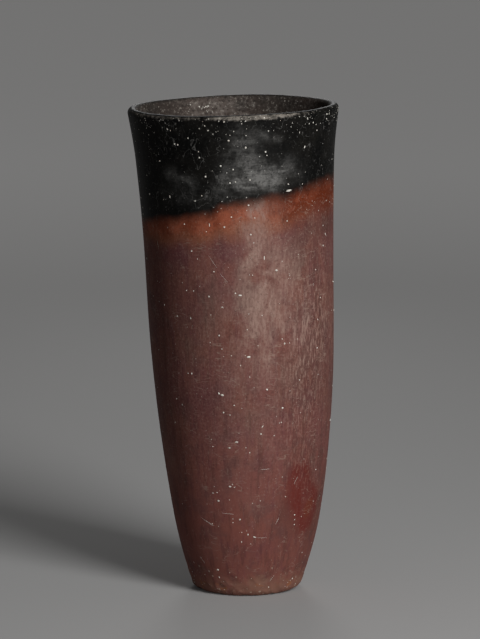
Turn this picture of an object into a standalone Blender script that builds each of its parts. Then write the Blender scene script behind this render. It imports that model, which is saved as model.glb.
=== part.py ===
"""Black-topped beaker: a tall clay vessel, built up by hand from a base pad, wall courses and a rim course.

Run with: blender --background --python part.py
Metres, +Z up. The origin is the centre of the flat face that the beaker stands on.
A straight upright beaker is turned first, course by course, and then leans over as the hand-built one does.
"""

import math

import bpy
from mathutils import Matrix, Vector

# Outer wall line, from the ground to the crest of the rim
HEIGHT = 0.2764
FOOT_RADIUS = 0.0304
HAUNCH_HEIGHT = 0.0440
HAUNCH_RADIUS = 0.0419
BELLY_HEIGHT = 0.1200
BELLY_RADIUS = 0.0507
NECK_DROP = 0.0305
NECK_RADIUS = 0.0560
MOUTH_RADIUS = 0.0600
HEEL_ROUND = 0.0058

# Inside
FLOOR_THICKNESS = 0.0085
FLOOR_ROUND = 0.0100
FOOT_WALL = 0.0080
RIM_WALL = 0.0058

# Clay courses, each lapped down over the outside of the one below it
WALL_COURSES = 8
BASE_PAD_HEIGHT = 0.0220
RIM_COURSE_HEIGHT = 0.0300
LAP = 0.0080
JOINT_GAP = 0.0003

# The lean of the hand-built wall, towards -X
LEAN_ANGLE = math.radians(2.2)
RIM_TILT = math.radians(1.5)
LEAN_FOOT = 0.0300
LEAN_FULL = 0.1150

# Smoothness of the turned solids
TURN_STEPS = 48
COURSE_ROWS = 3
ROUND_ROWS = 4
LEAN_SLICES = 64
MERGE_DISTANCE = 0.00001
SHARP_ANGLE = math.radians(35)

# Colours are linear RGB, with a roughness
RED_SLIP = ((0.120, 0.042, 0.032), 0.50)
BLACK_TOP = ((0.014, 0.014, 0.013), 0.42)
BLACK_COURSES = (8,)

WALL_LINE = (
    (0.0, FOOT_RADIUS),
    (HAUNCH_HEIGHT, HAUNCH_RADIUS),
    (BELLY_HEIGHT, BELLY_RADIUS),
    (HEIGHT - NECK_DROP, NECK_RADIUS),
    (HEIGHT, MOUTH_RADIUS),
)
COURSE_HEIGHT = (HEIGHT - BASE_PAD_HEIGHT - RIM_COURSE_HEIGHT) / WALL_COURSES


def clear_scene():
    """Removes every object of the open scene."""
    for obj in list(bpy.data.objects):
        bpy.data.objects.remove(obj)


def end_slope(near_step, far_step, near_rise, far_rise):
    """Slope at an end of a smooth line, from its first two stretches."""
    total = near_step + far_step
    return ((near_step + total) * near_rise - near_step * far_rise) / total


def knot_slopes(knots):
    """Slopes at the knots of a smooth line that never overshoots between them."""
    steps = [b[0] - a[0] for a, b in zip(knots, knots[1:])]
    rises = [(b[1] - a[1]) / step for a, b, step in zip(knots, knots[1:], steps)]
    slopes = [end_slope(steps[0], steps[1], rises[0], rises[1])]
    for i in range(1, len(steps)):
        if rises[i - 1] * rises[i] <= 0:
            slopes.append(0.0)
            continue
        before = 2 * steps[i] + steps[i - 1]
        after = steps[i] + 2 * steps[i - 1]
        slopes.append((before + after) / (before / rises[i - 1] + after / rises[i]))
    slopes.append(end_slope(steps[-1], steps[-2], rises[-1], rises[-2]))
    return slopes


WALL_SLOPES = knot_slopes(WALL_LINE)


def wall_line(z):
    """Radius of the outer wall's smooth line at height z."""
    i = max(k for k in range(len(WALL_LINE) - 1) if k == 0 or z >= WALL_LINE[k][0])
    (low, low_radius), (high, high_radius) = WALL_LINE[i : i + 2]
    step = high - low
    t = (z - low) / step
    return (
        (2 * t**3 - 3 * t**2 + 1) * low_radius
        + (t**3 - 2 * t**2 + t) * step * WALL_SLOPES[i]
        + (3 * t**2 - 2 * t**3) * high_radius
        + (t**3 - t**2) * step * WALL_SLOPES[i + 1]
    )


# The heel's arc touches the ground at BASE_RADIUS and the wall at HEEL_TOP
FOOT_ANGLE = math.pi / 2 + math.atan(WALL_SLOPES[0])
HEEL_TANGENT = HEEL_ROUND / math.tan(FOOT_ANGLE / 2)
BASE_RADIUS = FOOT_RADIUS - HEEL_TANGENT
HEEL_TOP = HEEL_TANGENT * math.sin(FOOT_ANGLE)


def outer_radius(z):
    """Radius of the outside at height z, with the rounded heel."""
    if z >= HEEL_TOP:
        return wall_line(z)
    return BASE_RADIUS + math.sqrt(HEEL_ROUND**2 - (HEEL_ROUND - z) ** 2)


def wall_thickness(z):
    """Thickness of the wall at height z: it thins evenly from the foot to the rim."""
    return FOOT_WALL + (RIM_WALL - FOOT_WALL) * z / HEIGHT


def inner_radius(z):
    """Radius of the inside at height z, with the rounded corner above the floor."""
    radius = wall_line(z) - wall_thickness(z)
    below = FLOOR_THICKNESS + FLOOR_ROUND - z
    if below <= 0:
        return radius
    return radius - FLOOR_ROUND + math.sqrt(FLOOR_ROUND**2 - min(below, FLOOR_ROUND) ** 2)


def spaced(start, end, rows):
    """Heights from start to end in equal rows, both ends included."""
    return [start + (end - start) * i / rows for i in range(rows + 1)]


def eased(start, end, rows):
    """Heights from start to end that crowd towards start, for a rounded corner there."""
    return [start + (end - start) * (1 - math.cos(math.pi / 2 * i / rows)) for i in range(rows + 1)]


def joint_ends(index):
    """Heights at the outside and the inside of the joint above wall course number index, 0 being the base pad."""
    middle = BASE_PAD_HEIGHT + COURSE_HEIGHT * index
    return middle - LAP / 2, middle + LAP / 2


def joint_rise(index):
    """How far the course above a joint stands off it, so that the gap square to the lap is JOINT_GAP."""
    outside, inside = joint_ends(index)
    across = outer_radius(outside) - inner_radius(inside)
    return JOINT_GAP * math.hypot(across, LAP) / across


def outside_down(top, bottom, rows=COURSE_ROWS):
    """Points down the outside of the wall."""
    return [(outer_radius(z), z) for z in spaced(top, bottom, rows)]


def inside_up(bottom, top, rows=COURSE_ROWS):
    """Points up the inside of the wall."""
    return [(inner_radius(z), z) for z in spaced(bottom, top, rows)]


def base_pad_profile():
    """From the middle of the floor out, up the inside, over the joint, down the outside and under to the middle."""
    outside, inside = joint_ends(0)
    corner_top = min(FLOOR_THICKNESS + FLOOR_ROUND, inside)
    corner = [(inner_radius(z), z) for z in eased(FLOOR_THICKNESS, corner_top, ROUND_ROWS)]
    heel_top = min(HEEL_TOP, outside)
    heel = [(outer_radius(z), z) for z in reversed(eased(0.0, heel_top, ROUND_ROWS))]
    wall_inside = inside_up(corner_top, inside, 1)[1:] if inside > corner_top else []
    wall_outside = outside_down(outside, heel_top, 2)[:-1] if outside > heel_top else []
    return [(0.0, FLOOR_THICKNESS), *corner, *wall_inside, *wall_outside, *heel, (0.0, 0.0)]


def wall_course_profile(index):
    """Closed outline of wall course number index, between its two lapped joints."""
    low_outside, low_inside = (z + joint_rise(index - 1) for z in joint_ends(index - 1))
    high_outside, high_inside = joint_ends(index)
    return outside_down(high_outside, low_outside) + inside_up(low_inside, high_inside)


def rim_course_profile():
    """Closed outline of the rim course: its lapped joint below and a half-round lip above."""
    low_outside, low_inside = (z + joint_rise(WALL_COURSES) for z in joint_ends(WALL_COURSES))
    lip_foot = HEIGHT - RIM_WALL / 2
    outer, inner = outer_radius(lip_foot), inner_radius(lip_foot)
    middle, reach = (outer + inner) / 2, (outer - inner) / 2
    turns = [math.pi * i / (2 * ROUND_ROWS) for i in range(1, 2 * ROUND_ROWS)]
    lip = [(middle - reach * math.cos(a), lip_foot + RIM_WALL / 2 * math.sin(a)) for a in turns]
    return outside_down(lip_foot, low_outside) + inside_up(low_inside, lip_foot) + lip


def lean_share(z):
    """How much of the full lean the wall has reached at height z, from 0 to 1."""
    t = min(max((z - LEAN_FOOT) / (LEAN_FULL - LEAN_FOOT), 0.0), 1.0)
    return t * t * (3 - 2 * t)


def centre_shift(z):
    """How far the wall's centre line has moved towards -X at height z."""
    slices = [z * (i + 0.5) / LEAN_SLICES for i in range(LEAN_SLICES)]
    return sum(math.tan(LEAN_ANGLE * lean_share(s)) for s in slices) * z / LEAN_SLICES


def leaned(point):
    """Where a point of the upright beaker lies once the wall has leaned over."""
    tilt = RIM_TILT * lean_share(point.z)
    return Vector(
        (
            point.x * math.cos(tilt) - centre_shift(point.z),
            point.y,
            point.z + point.x * math.sin(tilt),
        )
    )


def clay(name, finish):
    """Material of one fired-clay finish."""
    colour, roughness = finish
    material = bpy.data.materials.new(name)
    material.use_nodes = True
    shader = material.node_tree.nodes["Principled BSDF"]
    shader.inputs["Base Color"].default_value = (*colour, 1.0)
    shader.inputs["Roughness"].default_value = roughness
    shader.inputs["Metallic"].default_value = 0.0
    material.diffuse_color = (*colour, 1.0)
    return material


def turned(name, profile, closed, seat, material, beaker):
    """One clay piece: its outline turned about +Z, leaned over, with its origin on the centre line at height seat."""
    outline = bpy.data.meshes.new(name)
    ends = [(i, i + 1) for i in range(len(profile) - 1)]
    if closed:
        ends.append((len(profile) - 1, 0))
    outline.from_pydata([(radius, 0.0, z) for radius, z in profile], ends, [])
    piece = bpy.data.objects.new(name, outline)
    beaker.users_collection[0].objects.link(piece)
    screw = piece.modifiers.new("turn", "SCREW")
    screw.axis = "Z"
    screw.steps = TURN_STEPS
    screw.render_steps = TURN_STEPS
    screw.use_merge_vertices = True
    screw.merge_threshold = MERGE_DISTANCE
    solid = bpy.data.meshes.new_from_object(piece.evaluated_get(bpy.context.evaluated_depsgraph_get()))
    piece.modifiers.clear()
    piece.data = solid
    bpy.data.meshes.remove(outline)
    solid.name = name
    for vertex in solid.vertices:
        vertex.co = leaned(vertex.co)
    origin = leaned(Vector((0.0, 0.0, seat)))
    solid.transform(Matrix.Translation(-origin))
    solid.shade_smooth()
    solid.set_sharp_from_angle(angle=SHARP_ANGLE)
    solid.materials.append(material)
    piece.location = origin
    piece.parent = beaker
    return piece


def build():
    """Makes the beaker, from the base pad up."""
    clear_scene()
    collection = bpy.data.collections.new("black_topped_beaker")
    bpy.context.scene.collection.children.link(collection)
    beaker = bpy.data.objects.new("beaker", None)
    collection.objects.link(beaker)
    red = clay("red_slip", RED_SLIP)
    black = clay("black_top", BLACK_TOP)
    turned("base_pad", base_pad_profile(), False, 0.0, red, beaker)
    for index in range(1, WALL_COURSES + 1):
        finish = black if index in BLACK_COURSES else red
        seat = BASE_PAD_HEIGHT + COURSE_HEIGHT * (index - 1)
        turned(f"wall_course_{index}", wall_course_profile(index), True, seat, finish, beaker)
    turned("rim_course", rim_course_profile(), True, HEIGHT - RIM_COURSE_HEIGHT, black, beaker)


build()
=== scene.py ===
"""Looks of the black-topped beaker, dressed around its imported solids.

The wall is one hand-worked surface on a grid of rows and columns. It is cut into the clay courses that
the solids have, along the same lapped joints, so that no seam shows. Metres, +Z up, and +X to the right
of the photograph. A turn is an angle round the wall in degrees: 0 at the front, 90 at the right.
"""

import logging
import math
import random
from collections.abc import Callable
from dataclasses import dataclass, field
from enum import Enum
from typing import ClassVar

import bmesh
import bpy
import numpy as np
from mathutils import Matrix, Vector, noise


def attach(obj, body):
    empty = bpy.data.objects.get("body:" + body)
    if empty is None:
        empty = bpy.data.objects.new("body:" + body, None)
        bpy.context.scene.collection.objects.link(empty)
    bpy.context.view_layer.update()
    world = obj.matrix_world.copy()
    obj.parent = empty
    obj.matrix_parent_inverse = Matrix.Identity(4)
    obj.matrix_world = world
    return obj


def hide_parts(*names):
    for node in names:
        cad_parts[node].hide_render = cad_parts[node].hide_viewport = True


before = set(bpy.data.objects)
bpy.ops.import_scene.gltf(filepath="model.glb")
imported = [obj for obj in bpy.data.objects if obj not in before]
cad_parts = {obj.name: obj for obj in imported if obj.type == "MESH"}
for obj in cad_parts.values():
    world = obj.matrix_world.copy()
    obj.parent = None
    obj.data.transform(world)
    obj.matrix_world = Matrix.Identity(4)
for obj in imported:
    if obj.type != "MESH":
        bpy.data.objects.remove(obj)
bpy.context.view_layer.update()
LOG = logging.getLogger("beaker")
UP = np.array([0.0, 0.0, 1.0])

Colour = tuple[float, float, float]
Pairs = tuple[tuple[float, float], ...]
Socket = bpy.types.NodeSocket
Sockets = bpy.types.bpy_prop_collection


class Trait(Enum):
    """What the wall knows of itself at each point, kept on its meshes for the finishes to read."""

    INSIDE = "inside"
    LIP = "lip"
    HEEL = "heel"
    BELOW_BORDER = "below_border"
    # Blooms of the slip, partly grey blooming and partly painted sheen where the key light's highlight
    # falls.
    BLOOM = "bloom"
    BLOTCH = "blotch"
    # Grey scuffs on the black top, with painted sheen where the key light's highlight falls.
    SCUFF_AND_SHEEN = "scuff"
    SMOKE = "smoke"
    STRIA = "stria"
    VIOLET = "violet"
    MOSS = "moss"


class Side(Enum):
    """A side of the wall."""

    OUTSIDE = "outside"
    INSIDE = "inside"


def put_in_scene(name: str, data: bpy.types.ID) -> bpy.types.Object:
    """Adds an object to the scene, around its mesh, camera or light.

    Args:
        name: The object's name.
        data: What the object shows.

    Returns:
        The object.
    """
    thing = bpy.data.objects.new(name, data)
    bpy.context.scene.collection.objects.link(thing)
    return thing


def smooth_step(value: np.ndarray, low: float, high: float) -> np.ndarray:
    """Eases from 0 at low to 1 at high."""
    t = np.clip((value - low) / (high - low), 0.0, 1.0)
    return t * t * (3 - 2 * t)


def round_wall(turn: np.ndarray, pairs: Pairs) -> np.ndarray:
    """Values at turns round the wall, drawn straight between pairs of a turn and its value."""
    turns, values = np.array(pairs).T
    return np.interp(turn, turns, values, period=360)


@dataclass(frozen=True)
class Ripple:
    """Smooth noise over the wall: its strength, the size of its features in metres, and its seed."""

    amount: float
    across: float
    upright: float
    seed: float

    def at(self, points: np.ndarray) -> np.ndarray:
        """The noise at points on the upright wall, from -amount to amount.

        Args:
            points: Places in an array whose last axis is x, y, z.

        Returns:
            One number for each point, in the shape of the array.
        """
        scaled = points / np.array([self.across, self.across, self.upright]) + self.seed
        flat = [noise.noise(place) for place in scaled.reshape(-1, 3).tolist()]
        return self.amount * np.array(flat).reshape(points.shape[:-1])


@dataclass(frozen=True)
class WallShape:
    """Outline, thickness, joints and lean of the wall, as the solids have them."""

    height: float = 0.2764
    foot_radius: float = 0.0304
    haunch_height: float = 0.0440
    haunch_radius: float = 0.0419
    belly_height: float = 0.1200
    belly_radius: float = 0.0507
    neck_drop: float = 0.0305
    neck_radius: float = 0.0560
    mouth_radius: float = 0.0600
    heel_round: float = 0.0058
    floor_thickness: float = 0.0085
    floor_round: float = 0.0100
    foot_wall: float = 0.0080
    rim_wall: float = 0.0058
    courses: int = 8
    base_pad_height: float = 0.0220
    rim_course_height: float = 0.0300
    lap: float = 0.0080
    lean_angle: float = math.radians(2.2)
    rim_tilt: float = math.radians(1.5)
    lean_foot: float = 0.0300
    lean_full: float = 0.1150

    def knots(self) -> tuple[np.ndarray, np.ndarray]:
        """Heights and radii that the outer wall's smooth line runs through.

        Returns:
            The heights and the radii, from the foot up.
        """
        heights = (0.0, self.haunch_height, self.belly_height, self.height - self.neck_drop, self.height)
        sides = (self.foot_radius, self.haunch_radius, self.belly_radius, self.neck_radius)
        return np.array(heights), np.array((*sides, self.mouth_radius))

    def slopes(self) -> np.ndarray:
        """Slopes of the smooth line at its knots, which never let it overshoot.

        Returns:
            One slope for each knot.
        """
        heights, radii = self.knots()
        step = np.diff(heights)
        rise = np.diff(radii) / step
        before = 2 * step[1:] + step[:-1]
        after = step[1:] + 2 * step[:-1]
        middle = (before + after) / (before / rise[:-1] + after / rise[1:])
        first = ((2 * step[0] + step[1]) * rise[0] - step[0] * rise[1]) / (step[0] + step[1])
        last = ((2 * step[-1] + step[-2]) * rise[-1] - step[-1] * rise[-2]) / (step[-1] + step[-2])
        return np.array([first, *middle, last])

    def line(self, z: np.ndarray) -> np.ndarray:
        """Radius of the outer wall's smooth line at heights z.

        Args:
            z: Heights on the upright wall.

        Returns:
            One radius for each height.
        """
        heights, radii = self.knots()
        slopes = self.slopes()
        z = np.asarray(z, float)
        i = np.clip(np.searchsorted(heights, z, side="right") - 1, 0, len(heights) - 2)
        step = heights[i + 1] - heights[i]
        t = (z - heights[i]) / step
        start = (2 * t**3 - 3 * t**2 + 1) * radii[i] + (t**3 - 2 * t**2 + t) * step * slopes[i]
        end = (3 * t**2 - 2 * t**3) * radii[i + 1] + (t**3 - t**2) * step * slopes[i + 1]
        return start + end

    def heel_tangent(self) -> float:
        """Distance from the foot's sharp corner to where the heel's arc touches the ground."""
        return self.heel_round / math.tan(self.foot_angle() / 2)

    def foot_angle(self) -> float:
        """Angle between the ground and the wall, through the clay."""
        return math.pi / 2 + math.atan(float(self.slopes()[0]))

    def base_radius(self) -> float:
        """Radius of the flat that the beaker stands on."""
        return self.foot_radius - self.heel_tangent()

    def heel_top(self) -> float:
        """Height where the heel's arc meets the wall."""
        return self.heel_tangent() * math.sin(self.foot_angle())

    def lip_foot(self) -> float:
        """Height where the half-round lip starts."""
        return self.height - self.rim_wall / 2

    def inner(self, z: np.ndarray) -> np.ndarray:
        """Radius of the inside at heights z, with the rounded corner above the floor.

        Args:
            z: Heights on the upright wall.

        Returns:
            One radius for each height.
        """
        z = np.asarray(z, float)
        thickness = self.foot_wall + (self.rim_wall - self.foot_wall) * z / self.height
        below = np.clip(self.floor_thickness + self.floor_round - z, 0.0, self.floor_round)
        return self.line(z) - thickness - self.floor_round + np.sqrt(self.floor_round**2 - below**2)

    def joint(self, index: int) -> tuple[float, float]:
        """Heights of the joint above a course at its outside and inside, course 0 being the base pad.

        Args:
            index: Number of the course.

        Returns:
            The height outside and the height inside.
        """
        course = (self.height - self.base_pad_height - self.rim_course_height) / self.courses
        middle = self.base_pad_height + course * index
        return middle - self.lap / 2, middle + self.lap / 2

    def lean_share(self, z: np.ndarray) -> np.ndarray:
        """How much of the full lean the wall has reached at heights z, from 0 to 1."""
        return smooth_step(z, self.lean_foot, self.lean_full)

    def centre_shift(self, z: np.ndarray) -> np.ndarray:
        """How far the centre line has moved towards -X at heights z.

        Args:
            z: Heights on the upright wall.

        Returns:
            One distance for each height.
        """
        reach = self.lean_full - self.lean_foot
        t = np.clip((z - self.lean_foot) / reach, 0.0, 1.0)
        return math.tan(self.lean_angle) * (reach * (t**3 - t**4 / 2) + np.maximum(z - self.lean_full, 0.0))

    def leaned(self, points: np.ndarray) -> np.ndarray:
        """Where points of the upright beaker lie once the wall has leaned over.

        Args:
            points: Places in an array whose last axis is x, y, z.

        Returns:
            The leaned places, in the shape of the array.
        """
        x, y, z = np.moveaxis(points, -1, 0)
        tilt = self.rim_tilt * self.lean_share(z)
        return np.stack([x * np.cos(tilt) - self.centre_shift(z), y, z + x * np.sin(tilt)], -1)

    def upright(self, points: np.ndarray) -> np.ndarray:
        """Where points of the leaned beaker lie on the upright one.

        Args:
            points: Places in an array whose last axis is x, y, z.

        Returns:
            The upright places, in the shape of the array.
        """
        x, y, z = np.moveaxis(points, -1, 0)
        low = z
        for _ in range(4):
            tilt = self.rim_tilt * self.lean_share(low)
            straight = (x + self.centre_shift(low)) / np.cos(tilt)
            low = z - straight * np.sin(tilt)
        return np.stack([straight, y, low], -1)


@dataclass(frozen=True)
class PhotoView:
    """The camera, where the photograph was taken from."""

    image: tuple[int, int] = (480, 639)
    distance: float = 2.5
    height: float = 0.537
    pitch: float = math.radians(8.706)
    yaw: float = math.radians(0.09)
    lens: float = 251.1
    sensor: float = 36.0
    reach: float = 0.12
    steps: int = 600

    def place(self) -> None:
        """Makes the camera and gives it to the scene."""
        data = bpy.data.cameras.new("photo_view")
        data.lens = self.lens
        data.sensor_width = self.sensor
        camera = put_in_scene("photo_view", data)
        camera.location = (0.0, -self.distance, self.height)
        camera.rotation_euler = (math.pi / 2 - self.pitch, 0.0, self.yaw)
        bpy.context.scene.camera = camera

    def focal(self) -> float:
        """Focal length in pixels."""
        return self.lens / self.sensor * max(self.image)

    def scale(self) -> float:
        """Pixels for each metre at the beaker."""
        return self.focal() / self.distance

    def ray(self, x: float, y: float) -> np.ndarray:
        """Direction in which the camera sees the photograph's pixel x, y.

        Args:
            x: Pixel column.
            y: Pixel row.

        Returns:
            The direction, 1 long along the camera's axis.
        """
        width, height = self.image
        focal = self.focal()
        along = np.array([-math.sin(self.yaw), math.cos(self.yaw), 0.0])
        right = np.array([math.cos(self.yaw), math.sin(self.yaw), 0.0])
        forward = math.cos(self.pitch) * along - math.sin(self.pitch) * UP
        top = math.sin(self.pitch) * along + math.cos(self.pitch) * UP
        return forward + right * (x - width / 2) / focal + top * (height / 2 - y) / focal

    def spot(self, x: float, y: float, shape: WallShape) -> tuple[float, float]:
        """Where the photograph's pixel x, y lies on the outside of the wall.

        Args:
            x: Pixel column.
            y: Pixel row.
            shape: The wall that the pixel shows.

        Returns:
            The turn in degrees and the height on the upright wall.
        """
        along = np.linspace(self.distance - self.reach, self.distance + self.reach, self.steps)
        path = np.array([0.0, -self.distance, self.height]) + along[:, None] * self.ray(x, y)
        path = shape.upright(path)
        clear = np.hypot(path[:, 0], path[:, 1]) - shape.line(np.clip(path[:, 2], 0.0, shape.height))
        hit = path[np.argmax(clear <= 0) if (clear <= 0).any() else np.argmin(clear)]
        return math.degrees(math.atan2(hit[0], -hit[1])), float(hit[2])


@dataclass(frozen=True)
class Patch:
    """A soft-edged area of the wall: its middle, its half sizes and how strong it is."""

    turn: float
    height: float
    half_turn: float
    half_height: float
    amount: float = 1.0

    def on_wall(self, view: PhotoView, shape: WallShape) -> "Patch":
        """The area itself, which is on the wall already."""
        return self

    def cover(self, turn: np.ndarray, z: np.ndarray) -> np.ndarray:
        """How much of the patch lies at turns and heights.

        Args:
            turn: Angles round the wall in degrees.
            z: Heights on the upright wall.

        Returns:
            One number for each point.
        """
        across = ((turn - self.turn + 180) % 360 - 180) / self.half_turn
        upright = (z - self.height) / self.half_height
        return self.amount * np.exp(-(across**2) - upright**2)


@dataclass(frozen=True)
class SeenPatch:
    """A soft-edged area of the photograph: its middle and half sizes in pixels, and how strong it is."""

    x: float
    y: float
    half_width: float
    half_height: float
    amount: float = 1.0
    edge_on: float = 0.35

    def on_wall(self, view: PhotoView, shape: WallShape) -> Patch:
        """The area of the wall that it shows.

        Args:
            view: The camera that it was read with.
            shape: The wall that it lies on.

        Returns:
            The area by its turn and height.
        """
        turn, height = view.spot(self.x, self.y, shape)
        reach = float(shape.line(height)) * max(math.cos(math.radians(turn)), self.edge_on)
        half_turn = math.degrees(self.half_width / view.scale() / reach)
        return Patch(turn, height, half_turn, self.half_height / view.scale(), self.amount)


Areas = tuple[Patch | SeenPatch, ...]


@dataclass(frozen=True)
class HandMarks:
    """How far the potter's hands and long use left the wall from a true turned shape."""

    swell: Ripple = Ripple(0.00035, 0.055, 0.060, 3.1)
    scrape: Ripple = Ripple(0.00012, 0.012, 0.030, 11.7)
    stroke: Ripple = Ripple(0.00004, 0.0028, 0.040, 23.9)
    wipe: Ripple = Ripple(0.00008, 0.045, 0.0035, 31.3)
    lip_wear: Ripple = Ripple(0.0006, 0.0042, 0.0035, 41.9)
    heel_wear: Ripple = Ripple(0.0008, 0.0055, 0.0040, 53.3)
    rim_wave: Ripple = Ripple(0.0005, 0.045, 1.0, 61.7)
    rim_wave_depth: float = 0.030

    def depth(
        self, points: np.ndarray, inside: np.ndarray, lip: np.ndarray, heel: np.ndarray
    ) -> np.ndarray:
        """How far each point stands out from the true wall, along its normal.

        Args:
            points: Places on the true upright wall.
            inside: 1 on the inside of the wall and 0 on the outside.
            lip: 1 on the lip's crest, fading to 0 away from it.
            heel: 1 on the heel, fading to 0 away from it.

        Returns:
            One distance for each point.
        """
        out = self.swell.at(points) + self.scrape.at(points)
        out += (1 - inside) * self.stroke.at(points) + inside * self.wipe.at(points)
        out -= lip * np.abs(self.lip_wear.at(points))
        return out - heel * np.abs(self.heel_wear.at(points))

    def rise(self, points: np.ndarray, top: float) -> np.ndarray:
        """How far the wave of the rim lifts each point."""
        near = smooth_step(points[..., 2], top - self.rim_wave_depth, top)
        return near * self.rim_wave.at(points * (1 - UP))


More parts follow.
